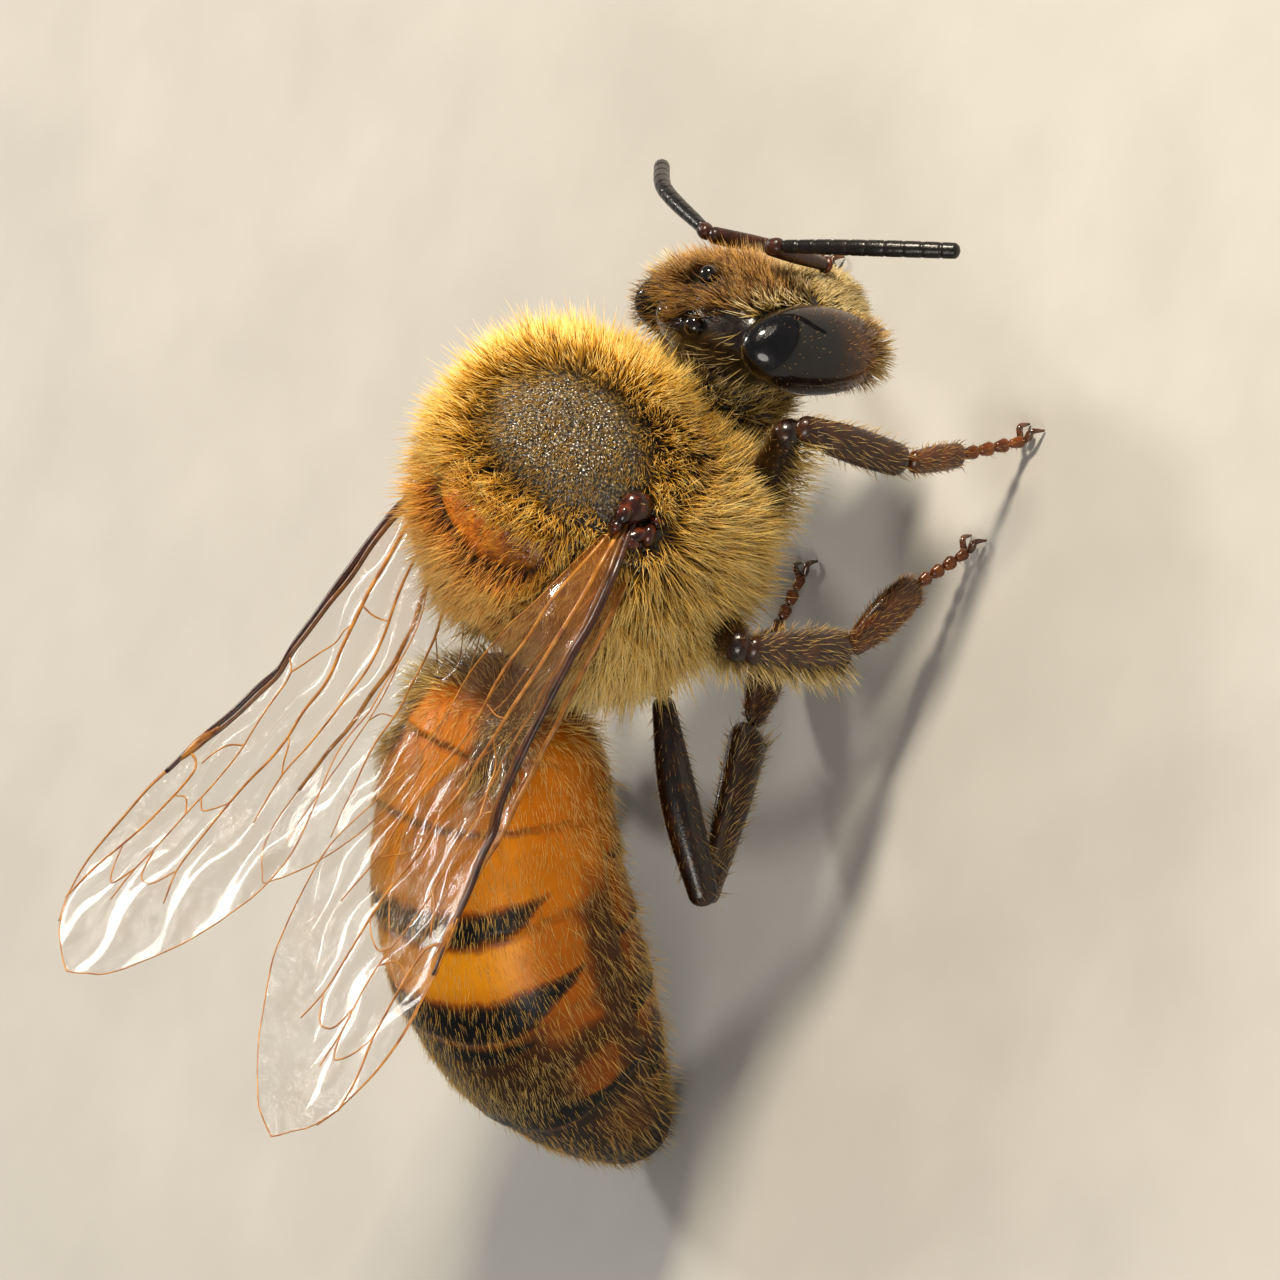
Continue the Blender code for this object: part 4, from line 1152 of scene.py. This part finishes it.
ROOT_LIFT = (-0.05, 0.73, 0.61)     # how far a wing's base stands over the fur, on the left
LEFT_LIFT = 0.45                    # the left wings' bases lie lower, by this share
NET_LENGTH = 9.0                    # veins are smoothed on a wing of this length


def wing_spot(name, run, chord, lift=0.0):
    """A point on a wing's sheet, with its pleats, from the share of its length and the distance
    back from its middle line."""
    root, way, twist, plate = WINGS[name]
    fore = name.startswith("fore")
    length = FORE_LENGTH if fore else HIND_LENGTH
    hand = 1 if name.endswith("left") else -1
    run, chord = np.broadcast_arrays(np.asarray(run, float), np.asarray(chord, float))
    way = unit(np.array(way))
    inward = np.array([0.0, -hand, 0.0])
    inward = unit(inward - way * (inward @ way))
    normal = np.cross(way, inward) * hand
    roll = np.radians(twist) * np.maximum(0, 1 - run / 0.4) ** 2
    across = inward * np.cos(roll)[..., None] + normal * np.sin(roll)[..., None]
    spread = ease(run, 0.05, 0.5)
    wave = 0.9 * np.sin(run * 23.0 + chord * 2.0) + 0.6 * np.sin(run * 41.0 - chord * 4.1)
    pleat = 0.050 * np.sin(chord * 8.6 - run * 5.0 + 0.6 + wave * fade(run, 0.90, 1.0))
    pleat = pleat * (1 - 0.84 * ease(run, 0.42, 0.85))
    swell = 0.05 * np.sin(run * 9.0 + chord * 1.6) * spread
    lie = plate + (pleat * (0.35 + 0.65 * spread) + swell) * (1.0 if fore else 0.75) + lift
    stand = np.array(ROOT_LIFT) * (1, hand, 1)
    rise = 0.64 + 0.36 * ease(run, 0.0, 0.10) - ease(run, 0.12, 0.50)
    rise = rise * (LEFT_LIFT if hand > 0 else 1.0)
    point = (np.array(root) + way * (run * length)[..., None] + across * chord[..., None]
             + normal * lie[..., None] + stand * rise[..., None])
    return placed(TRUNK, point)


def membrane_material():
    """Wing skin: two clear sheets of chitin a few thousandths of a millimetre thick, faintly
    smoky, wrinkled between the veins, so it glints in streaks."""
    made, tree, shader = new_material("wing_membrane_smoky", Roughness=0.14, IOR=1.56,
                                      Specular_IOR_Level=0.5, Coat_Weight=0.7,
                                      Coat_Roughness=0.05)
    at = add(tree, "TexCoord", out="Object")
    cloud, fine, broad = (
        add(tree, "TexNoise", None, {"Vector": at, "Scale": 1000 / size_mm, "Detail": detail,
                                     "Roughness": rough})
        for size_mm, detail, rough in ((0.9, 3.0, 0.5), (0.09, 3.0, 0.6), (0.40, 2.0, 0.5)))
    smoky, amber = (add(tree, "ValToRGB", {"stops": stops}, [cloud]) for stops in (
        [(0.30, "#3C2C18"), (0.52, "#60482A"), (0.75, "#7E6C4A")],
        [(0.30, "#7A3406"), (0.70, "#B4661A")]))
    near = add(tree, "Attribute", {"attribute_name": "near_root"}, out="Fac")
    share = add(tree, "Math", TIMES, [near, 0.7])
    clear = add(tree, "MapRange", SMOOTH, [cloud, 0.3, 0.8, 0.16, 0.26])
    height = add(tree, "Math", TIMES_PLUS, [broad, 3.0, fine])
    join(tree, shader, Base_Color=add(tree, "Mix", COLOURS, {0: share, 6: smoky, 7: amber}, 2),
         Alpha=add(tree, "Math", TIMES_PLUS, [near, 0.20, clear]),
         Normal=add(tree, "Bump", None,
                    {"Height": height, "Distance": 16.0 * MICRON, "Strength": 1.0}))
    return made


def tube_along(build, path, radii, up, corners=8, **fields):
    """A vein: a tube with closed ends through the points of a path."""
    ahead = unit(np.gradient(path, axis=0))
    side = unit(np.cross(ahead, up))
    over = np.cross(side, ahead)
    angle = np.arange(corners) * 2 * math.pi / corners
    ring = (side[:, None] * np.cos(angle)[None, :, None]
            + over[:, None] * np.sin(angle)[None, :, None] * 0.8)
    points = (path[:, None] + ring * radii[:, None, None]).reshape(-1, 3)
    points = np.vstack([points, path[:1], path[-1:]])
    quads, start, end = tube_faces(len(path), corners)[:3]
    loops = np.concatenate([quads.ravel(), start.ravel(), end.ravel()])
    sizes = np.r_[np.full(len(quads), 4), np.full(2 * corners, 3)]
    build.add(points, loops, sizes, np.zeros((len(loops), 2)) + 0.5, **fields)


def build_wings():
    sheet = membrane_material()
    # wing veins: hollow tubes of red brown chitin, almost black along the leading edge
    rib = grained("wing_vein_red_brown", 0.2, 3.0, [(0.3, "#7E4410"), (0.7, "#C08430")],
                  [(0.3, "#160702"), (0.7, "#401C08")], paint="dark", grain=(0.05, 2.0, 5.0),
                  Roughness=0.34, Specular_IOR_Level=0.35, Coat_Weight=0.15, Coat_Roughness=0.20)
    for name in WINGS:
        fore = name.startswith("fore")
        lead, trail = (FORE_LEAD, FORE_TRAIL) if fore else (HIND_LEAD, HIND_TRAIL)
        columns, rows = (150, 60) if fore else (110, 44)
        run = 1 - (1 - np.linspace(0, 1, columns)) ** 1.35
        share = np.linspace(0, 1, rows)
        run, share = np.meshgrid(run, share, indexing="ij")
        front, back = smooth(lead, run), smooth(trail, run)
        tip = np.sqrt(np.clip((1 - run) / 0.03, 0, 1))
        middle = (front + back) / 2
        chord = middle + (share - 0.5) * (back - front) * (0.35 + 0.65 * tip)
        sheet_points = wing_spot(name, run * 0.995, chord)
        row, column = np.meshgrid(np.arange(columns - 1), np.arange(rows - 1), indexing="ij")
        row, column = row.ravel(), column.ravel()
        corners = [(row, column), (row + 1, column), (row + 1, column + 1), (row, column + 1)]
        quads = np.stack([r * rows + c for r, c in corners], -1)
        places = np.stack([np.stack([r / (columns - 1), c / (rows - 1)], -1)
                           for r, c in corners], 1)
        membrane = Build()
        membrane.add(sheet_points.reshape(-1, 3), quads.ravel(), np.full(len(quads), 4),
                     places.reshape(-1, 2), near_root=fade(run, 0.02, 0.45).ravel())
        thing = membrane.finish("membrane_" + name, [sheet])
        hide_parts(name)
        net = Build()
        up = wing_spot(name, 0.5, 0.3, 1.0) - wing_spot(name, 0.5, 0.3, 0.0)
        for vein, points in (FORE_VEINS if fore else HIND_VEINS).items():
            line = bent_line([(along * NET_LENGTH, chord, 0.0) for along, chord in points])
            count = 12 + 14 * len(points)
            spots = line(np.linspace(0, 1, count))[0]
            path = wing_spot(name, spots[:, 0] / NET_LENGTH, spots[:, 1])
            start, end = VEIN_RADII.get(vein, (0.014, 0.011))
            scale = 1.0 if fore else 0.75
            radii = np.linspace(start, end, count) * scale
            dark = {"edge": 1.0 if fore else 0.3, "radius": 0.8, "rim": 0.3}.get(vein, 0.1)
            tube_along(net, path, radii, up, dark=dark)
        margin = np.vstack([sheet_points[4:, -1], sheet_points[-1, -3::-3],
                            sheet_points[-2:columns // 2:-1, 0]])
        tube_along(net, margin, np.full(len(margin), 0.011), up, corners=6, dark=0.0)
        if fore:
            stigma = wing_spot(name, np.linspace(0.60, 0.675, 14), np.linspace(-0.76, -0.90, 14))
            tube_along(net, stigma, 0.075 * np.sin(np.linspace(0.25, 2.9, 14)), up, dark=0.4)
        thing = net.finish("veins_" + name, [rib])


# ---------------------------------------------------------------- the coat
EYE_SPACES = [np.array(eye_matrix(sign).inverted()) for sign in (1, -1)]


def by_eyes(points):
    """Points as seen from each eye's middle, as shares of its half sizes."""
    return [placed(space, points) / np.array(EYE_HALF) for space in EYE_SPACES]


def in_eyes(points, room=1.0):
    """True where points lie inside an eye that is room times its size."""
    left, right = (np.sum((local / room) ** 2, axis=1) < 1.0 for local in by_eyes(points))
    return left | right


def runs_into_eyes(point, ways, lengths):
    """True for a hair that would cross a compound eye or start beside a simple one."""
    middle = point + unit(ways) * lengths[:, None] * 0.6
    tip = point + unit(ways) * lengths[:, None]
    crowded = in_eyes(point, 1.02) | in_eyes(middle, 1.0) | in_eyes(tip, 0.97)
    for at in OCELLI.values():
        bead = placed(HEAD, np.array([at]))[0]
        crowded |= np.linalg.norm(point - bead, axis=1) < 0.25
    return crowded


def eye_closeness(points):
    """1 for a root at an eye's rim, falling to 0 a fifth of a millimetre away."""
    left, right = (fade(np.sqrt(np.sum(local**2, axis=1)), 1.04, 1.34)
                   for local in by_eyes(points))
    return np.maximum(left, right)


def finish_coat(build, name, made):
    """A finished coat piece."""
    thing = build.finish(name, [made])


def bare_head(level, turn):
    """1 on the glossy bare strips behind the eyes, round the side ocelli and on the brow."""
    side = np.abs(turn)
    strip = ease(side, 90, 98) * (1 - 0.85 * ease(side, 150, 166)) * ease(level, -0.80, -0.50)
    crown = ease(side, 46, 56) * ease(level, 0.88, 1.00)
    top = fade(level, 1.48, 1.51)
    brow = 1.4 * hump(turn, 12, 22) * hump(level, 1.12, 0.22)
    return np.clip(np.maximum(strip, crown) * top + brow, 0, 1)


def head_coat():
    """Long tawny hair on the brow and crown, short buff hair on the lower face, pale hair along
    the inner rim of each eye and golden bristles round its outer rim."""
    for hand, turns in (("left", (-180.0, 0.0)), ("right", (0.0, 180.0))):
        build = Build()
        run, turn = scatter(HEAD_HULL, 1150, (0.03, 0.985), turns,
                            lambda r, t: 1 - 0.96 * bare_head(head_level(r), t))
        point = HEAD_HULL.spot(run, turn)
        level, side = head_level(run), np.abs(turn)
        rim = eye_closeness(point)
        face = fade(side, 84, 100)
        brow = ease(level, -0.35, 0.60) * fade(side, 62, 90)
        nape = ease(side, 95, 125)
        outer = rim * np.clip(1 - face + fade(level, -0.55, -0.35), 0, 1)
        inner = rim * (1 - outer)
        fringe = rim * ease(level, 0.45, 0.80)
        tall = 0.26 if hand == "left" else 0.10
        length = 0.16 + 0.20 * brow + 0.12 * nape - 0.04 * inner + 0.07 * outer + tall * fringe
        lean = 0.34 - 0.10 * brow - 0.22 * outer + 0.30 * inner
        coat(build, HEAD_HULL, run, turn, length, lean,
             (np.where(level > 0.0, 0.9, -0.9), 0.25 * np.sign(turn)),
             width=0.0070 + 0.0045 * inner, mess=0.15, clump=0.24, clump_size=0.5, seed=3,
             gather=0.22, each=12,
             wisps=0.10 * (1 - inner), avoid=runs_into_eyes, warm=0.12 * brow,
             pale=np.clip(0.95 * inner + 0.5 * outer + 0.75 * fade(level, -0.2, 0.5) * face
                          + 0.35 * nape, 0, 1),
             dark=np.clip(0.60 * ease(level, 0.45, 1.05) * (1 - 0.5 * nape) - rim, 0, 1))
        sign = 1 if hand == "left" else -1
        lens = ball(eye_matrix(sign), EYE_HALF)
        run, turn = scatter(lens, 520, (0.04, 0.72), ALL_ROUND,
                            lambda r, t: 1 - 0.9 * ease(r, 0.20, 0.45))
        outside = np.abs((turn * -sign + 180) % 360 - 180 - 110) < 100
        run, turn = run[outside], turn[outside]
        low = fade(run, 0.18, 0.38)
        coat(build, lens, run, turn, 0.085 + 0.17 * low, 0.12, (-0.8, 0.0),
             width=0.0045 + 0.0040 * low, mess=0.12, clump=0.0, curl=0.0, each=8,
             pale=0.25 + 0.3 * low, dark=0.30 * (1 - low), warm=0.3)
        if hand == "left":       # long hairs of the crown that hang over the top of this eye
            run, turn = scatter(lens, 230, (0.50, 0.97), ALL_ROUND)
            coat(build, lens, run, turn, 0.22, 0.30, (0.9, 0.0), width=0.0062, mess=0.20,
                 clump=0.20, each=8, pale=0.35, dark=0.25, warm=0.2)
        finish_coat(build, "coat_head_" + hand, head_hair)


def neck_coat():
    """Pale fur that closes the gap between head and thorax."""
    build = Build()
    run, turn = scatter(NECK_HULL, 520, (0.06, 0.95), ALL_ROUND)
    coat(build, NECK_HULL, run, turn, 0.34, 0.42, (1.0, 0.0), width=0.0085, mess=0.20, gather=0.5,
         seed=4, wisps=0.15, each=12, pale=0.55, dark=0.25)
    finish_coat(build, "coat_neck", thorax_hair)


WING_HOLLOW = (0.572, 58.0)     # run and turn of the bare hollow round each wing's root
FLANK_RADIUS = 2.3              # turns into millimetres round the side of the thorax


def under_wings(points):
    """1 under the base of a forewing, where the fur is pressed short, and 0 away from it."""
    pressed = np.zeros(len(points))
    for name in ("forewing_left", "forewing_right"):
        start, end = wing_spot(name, np.array([0.0, 0.26]), 0.14)
        edge = wing_spot(name, np.array([0.13]), 0.5)[0]
        way = unit(end - start)
        across = unit(edge - start - way * ((edge - start) @ way))
        run = (points - start) @ way / np.linalg.norm(end - start)
        chord = (points - start) @ across
        lane = ease(run, -0.10, 0.0) * fade(run, 1.0, 1.15)
        room = 0.30 + 0.30 * np.clip(run, 0, 1)
        near = np.linalg.norm(points - (start + end) / 2, axis=1) < 2.6
        pressed = np.maximum(pressed, lane * fade(np.abs(chord), room, room + 0.15) * near)
    return pressed


def thorax_coat():
    """Deep golden fur that stands out all round, short dark stubble on the disc of the back,
    and on the flanks long pale locks that stream away from the wing roots."""
    pieces = {"coat_thorax_left": (-180.0, -62.0), "coat_thorax_top_left": (-62.0, 0.0),
              "coat_thorax_top_right": (0.0, 78.0), "coat_thorax_right": (78.0, 180.0)}
    hollow_run, hollow_turn = WING_HOLLOW

    def thick(run, turn):
        bald, crescent = disc_share(run, turn), scutellum_share(run, turn)
        hollow = np.exp(-(((run - hollow_run) / 0.085) ** 2
                          + ((np.abs(turn) - hollow_turn) / 11.5) ** 2))
        return (0.52 - 0.10 * bald) * (1 - 0.93 * crescent) * (1 - 0.99 * (hollow > 0.36))

    for name, turns in pieces.items():
        build = Build()
        run, turn = scatter(THORAX_HULL, 1600, (0.02, 0.98), turns, thick)
        bald, crescent = disc_share(run, turn), scutellum_share(run, turn)
        hand = np.where(turn > 10.0, 1.0, -1.0)
        flank = ease(np.abs(turn - 8.0), 46, 74)
        under = ease(np.abs(turn), 120, 160)
        rear = fade(run, 0.08, 0.24)
        front = ease(run, 0.84, 0.95)
        shoulder = ease(run, 0.70, 0.86) * ease(turn, 20, 45) * fade(turn, 62, 80)
        warmth = fade(run, 0.16, 0.44) * fade(np.abs(turn - 6.0), 30, 62)
        ahead = (run - hollow_run) * THORAX_LENGTH
        beside = np.radians(turn - hollow_turn * hand) * FLANK_RADIUS
        away = np.sqrt(ahead**2 + beside**2) + 0.05
        flow = (-0.8 + flank * (0.8 + ahead / away) + 1.2 * front * (1 - flank),
                0.25 * hand * (1 - flank) + flank * beside / away)
        length = (0.53 + 0.12 * flank - 0.14 * under - 0.02 * front - 0.18 * shoulder
                  - 0.10 * flank * ease(run, 0.62, 0.80))
        length = length * (1 - 0.78 * bald) * (1 - 0.35 * crescent)
        length = length * (1 - 0.55 * under_wings(THORAX_HULL.spot(run, turn)))
        lean = 0.10 + 0.36 * flank + 0.32 * bald + 0.10 * front + 0.20 * shoulder
        coat(build, THORAX_HULL, run, turn, length, lean, flow, width=0.0104 - 0.0040 * bald,
             mess=0.14, clump=0.26, clump_size=0.7, seed=5, gather=0.22 + 0.55 * flank, each=20,
             wisps=0.12 * (1 - bald), warm=warmth,
             pale=np.clip(0.34 * flank + 0.45 * under + 0.30 * rear, 0, 0.9),
             # the shoulder's hair is browner, and partly darkened with painted shade of the shadows
             # between its hairs, on the right side only
             dark=np.clip(0.50 * bald + 0.40 * shoulder + 0.10 * front * (1 - flank), 0, 0.9))
        finish_coat(build, name, thorax_hair)


def abdomen_coat():
    """Fine golden hair that lies back along the plates, with pale locks at the sides of the
    first two, pale felt on the fifth and a fringe round the tip."""
    pieces = {"coat_abdomen_front": (0.02, 0.30), "coat_abdomen_middle": (0.30, 0.60),
              "coat_abdomen_rear": (0.60, 0.985)}
    for name, runs in pieces.items():
        build = Build()

        def marks(run, turn):
            ring, side = ring_place(run, turn), np.abs(turn - 4.0)
            lock = (np.exp(-(((side - 54) / 15.0) ** 2)) * hump(ring, 0.090, 0.055)
                    + np.exp(-(((side - 44) / 13.0) ** 2)) * hump(ring, 0.168, 0.05))
            felt = ease(ring, 0.594, 0.612) * fade(ring, 0.675, 0.70) * fade(side, 62, 84)
            return np.clip(lock, 0, 1), felt

        def thick(run, turn):
            lock, felt = marks(run, turn)
            sparse = 0.16 * ease(ring_place(run, turn), 0.36, 0.50)
            gap = 0.16 * hump(ring_place(run, turn), 0.715, 0.045)
            return np.clip(0.38 - sparse - gap + 0.60 * lock + 0.30 * felt, 0, 1)

        run, turn = scatter(ABDOMEN_HULL, 720, runs, ALL_ROUND, thick)
        lock, felt = marks(run, turn)
        ring = ring_place(run, turn)
        side = np.abs(turn - 4.0)
        shoulder = fade(ring, 0.05, 0.14)
        belly = ease(side, 108, 125)
        tip = ease(ring, 0.74, 0.90)
        length = 0.21 + 0.14 * shoulder + 0.20 * lock + 0.03 * tip - 0.04 * felt
        lean = 0.76 - 0.38 * shoulder - 0.26 * lock - 0.06 * belly - 0.12 * tip - 0.10 * felt
        coat(build, ABDOMEN_HULL, run, turn, length, lean, (1.0, 0.12 * np.sign(turn)),
             width=0.0046 + 0.0042 * lock, mess=0.07, clump=0.16, clump_size=0.9, curl=0.05,
             seed=9, gather=0.70 * lock, each=10, wisps=0.04,
             pale=np.clip(0.20 + 0.7 * lock + 0.2 * belly + 0.4 * shoulder + 0.45 * felt, 0, 1),
             # the dark hair low on each flank is partly the darker belly side and partly painted
             # shade, as on the skin under it
             dark=np.clip(0.45 * tip + 0.15 * felt + 0.10 * lock
                          + 0.55 * ease(side, 66, 90) * ease(ring, 0.28, 0.42) * (1 - belly), 0, 1))
        run, turn = scatter(ABDOMEN_HULL, 34, runs, ALL_ROUND,
                            lambda r, t: ease(np.abs(t - 4.0), 66, 95))
        coat(build, ABDOMEN_HULL, run, turn, 0.36, 0.34, (1.0, 0.0), width=0.0038, mess=0.16,
             clump=0.1, curl=0.35, each=6, steps=3, pale=0.35)
        finish_coat(build, name, abdomen_hair)


def leg_coat():
    """Short bristles that lie along the joints of every leg."""
    for kind in ("fore", "mid", "hind"):
        build = Build()
        for hand in ("left", "right"):
            for part, (hull, _) in LEG_HULLS[f"{kind}_{hand}"].items():
                toe = part.startswith("toe")
                per = {"hip": 380, "thigh": 60, "shin": 120, "sole": 300}.get(part, 200)
                run, turn = scatter(hull, per, (0.04, 0.97), ALL_ROUND)
                length = {"hip": 0.30, "thigh": 0.15, "shin": 0.19, "sole": 0.12}.get(part, 0.07)
                coat(build, hull, run, turn, length, 0.52 if not toe else 0.6, (1.0, 0.0),
                     width=0.0062, mess=0.14, clump=0.10, clump_size=0.4, seed=11, wisps=0.1,
                     pale=0.35 if part in ("hip", "shin") else 0.05,
                     dark=0.25 if part == "thigh" else 0.0)
        finish_coat(build, "coat_legs_" + kind, leg_hair)


FRINGES = [  # leg, joint, the way the hairs hang, and their length
    ("fore_right", "thigh", (-0.10, -0.60, -0.72), 0.52),
    ("fore_left", "thigh", (-0.10, 0.60, -0.72), 0.52),
    ("mid_right", "thigh", (-0.75, -0.20, -0.60), 0.46),
    ("mid_left", "thigh", (-0.75, 0.20, -0.60), 0.46),
    ("mid_right", "shin", (-0.70, -0.30, -0.55), 0.40),
    ("mid_left", "shin", (-0.70, 0.30, -0.55), 0.40),
    ("hind_right", "thigh", (-0.30, 0.30, -0.80), 0.30),
    ("hind_left", "thigh", (-0.30, -0.30, -0.80), 0.30),
    ("hind_right", "shin", (-0.60, -0.40, 0.60), 0.40),
    ("hind_left", "shin", (0.40, 0.60, 0.60), 0.40),
    ("hind_right", "shin", (0.60, 0.40, -0.60), 0.34),
    ("hind_left", "shin", (-0.40, -0.60, -0.60), 0.34),
]


def leg_fans():
    """The long pale fringes that hang below the thighs and along the shins."""
    build = Build()
    for leg, part, way, length in FRINGES:
        hull = LEG_HULLS[leg][part][0]
        run, turn = scatter(hull, 300, (0.06, 0.96), ALL_ROUND)
        point, normal, along, _ = hull.grain(run, turn)
        way = unit(np.array(way))
        kept = normal @ way > 0.55
        point, normal, along = point[kept], normal[kept], unit(along[kept])
        count = len(point)
        ways = normal * 0.45 + way * 0.8 + along * 0.25 + chance.normal(size=(count, 3)) * 0.16
        bends = along * 0.15 + chance.normal(size=(count, 3)) * 0.10
        strands(build, point - normal * ROOT_DEPTH, ways, bends,
                length * chance.uniform(0.50, 1.20, count), np.full(count, 0.0080),
                np.stack([(turn[kept] + 180) / 360, run[kept]], -1), steps=3,
                tint=chance.uniform(size=count), pale=np.full(count, 0.6),
                dark=np.zeros(count), warm=np.zeros(count))
    finish_coat(build, "coat_leg_fringes", leg_hair)


build_eyes()
build_feelers()
build_mouth()
build_claws()
build_wing_roots()
build_wings()
head_coat()
neck_coat()
thorax_coat()
abdomen_coat()
leg_coat()
leg_fans()


# ---------------------------------------------------------------- the studio
def build_floor():
    """A pale matt board under the model."""
    made = grained("floor_board_white", 2.5, 3.0, [(0.3, "#A9A7A3"), (0.7, "#B1AFAB")],
                   Roughness=0.85, Specular_IOR_Level=0.2)
    half = 0.6
    mesh = bpy.data.meshes.new("floor")
    mesh.from_pydata([(-half, -half, 0), (half, -half, 0), (half, half, 0), (-half, half, 0)], [],
                     [(0, 1, 2, 3)])
    mesh.materials.append(made)
    floor = bpy.data.objects.new("floor", mesh)
    bpy.context.scene.collection.objects.link(floor)


LOOK_FROM = np.array([0.1724, -0.7651, 0.6204])
LOOK_RIGHT = np.array([0.4335, -0.5066, -0.7452])
LOOK_UP = np.array([0.8845, 0.3975, 0.2443])
LOOK_HEIGHT, MOVED_RIGHT, MOVED_DOWN = 4.2, 0.453, 1.60     # where the view's middle is
FRAME_WIDTH, CAMERA_AWAY, SENSOR_WIDTH = 17.07, 150.0, 36.0
LAMP_HEIGHT = 3.5               # the lamps point at this height over the middle of the floor
WORLD_STRENGTH = 0.31
LAMPS = {  # way to the lamp, distance, width, power in watts and colour
    "key": ((0.757, 0.03, 0.648), 110.0, 20.0, 0.205, "#FFF0D8"),
    "fill": ((-0.35, -0.85, 0.55), 130.0, 60.0, 0.075, "#FFF8EE"),
    "back": ((0.05, 0.77, 0.60), 130.0, 22.0, 0.085, "#FFFAF0"),
}


def aimed(name, data, place, target, up):
    """A camera or lamp at a place, turned to look at a target."""
    thing = bpy.data.objects.new(name, data)
    way = unit(np.array(place, float) - np.array(target, float))
    right = unit(np.cross(np.array(up, float), way))
    over = np.cross(way, right)
    thing.matrix_world = Matrix([list(row) + [part * MM] for row, part in
                                 zip(np.stack([right, over, way], 1), place)] + [[0, 0, 0, 1]])
    bpy.context.scene.collection.objects.link(thing)
    return thing


def build_camera():
    middle = (np.array([GROUND[0], GROUND[1], LOOK_HEIGHT]) + LOOK_RIGHT * MOVED_RIGHT
              - LOOK_UP * MOVED_DOWN)
    lens = bpy.data.cameras.new("camera")
    lens.sensor_width = SENSOR_WIDTH
    lens.lens = SENSOR_WIDTH * CAMERA_AWAY / FRAME_WIDTH
    lens.clip_start, lens.clip_end = 0.005, 10.0
    bpy.context.scene.camera = aimed("camera", lens, middle + LOOK_FROM * CAMERA_AWAY, middle,
                                     LOOK_UP)


def softbox(name, way, away, width, power, colour):
    lamp = bpy.data.lights.new(name, "AREA")
    lamp.shape, lamp.size = "DISK", width * MM
    lamp.energy = power
    lamp.color = linear(colour)[:3]
    target = np.array([0.0, 0.0, LAMP_HEIGHT])
    aimed(name, lamp, target + unit(np.array(way, float)) * away, target, (0.1, 0.9, 0.2))


def build_lights():
    world = bpy.data.worlds.new("studio")
    world.use_nodes = True
    sky = world.node_tree.nodes["Background"]
    sky.inputs["Color"].default_value = linear("#F2F0EC")
    sky.inputs["Strength"].default_value = WORLD_STRENGTH
    bpy.context.scene.world = world
    bpy.context.scene.view_settings.view_transform = "Standard"
    for name, lamp in LAMPS.items():
        softbox(name, *lamp)


build_floor()
build_camera()
build_lights()
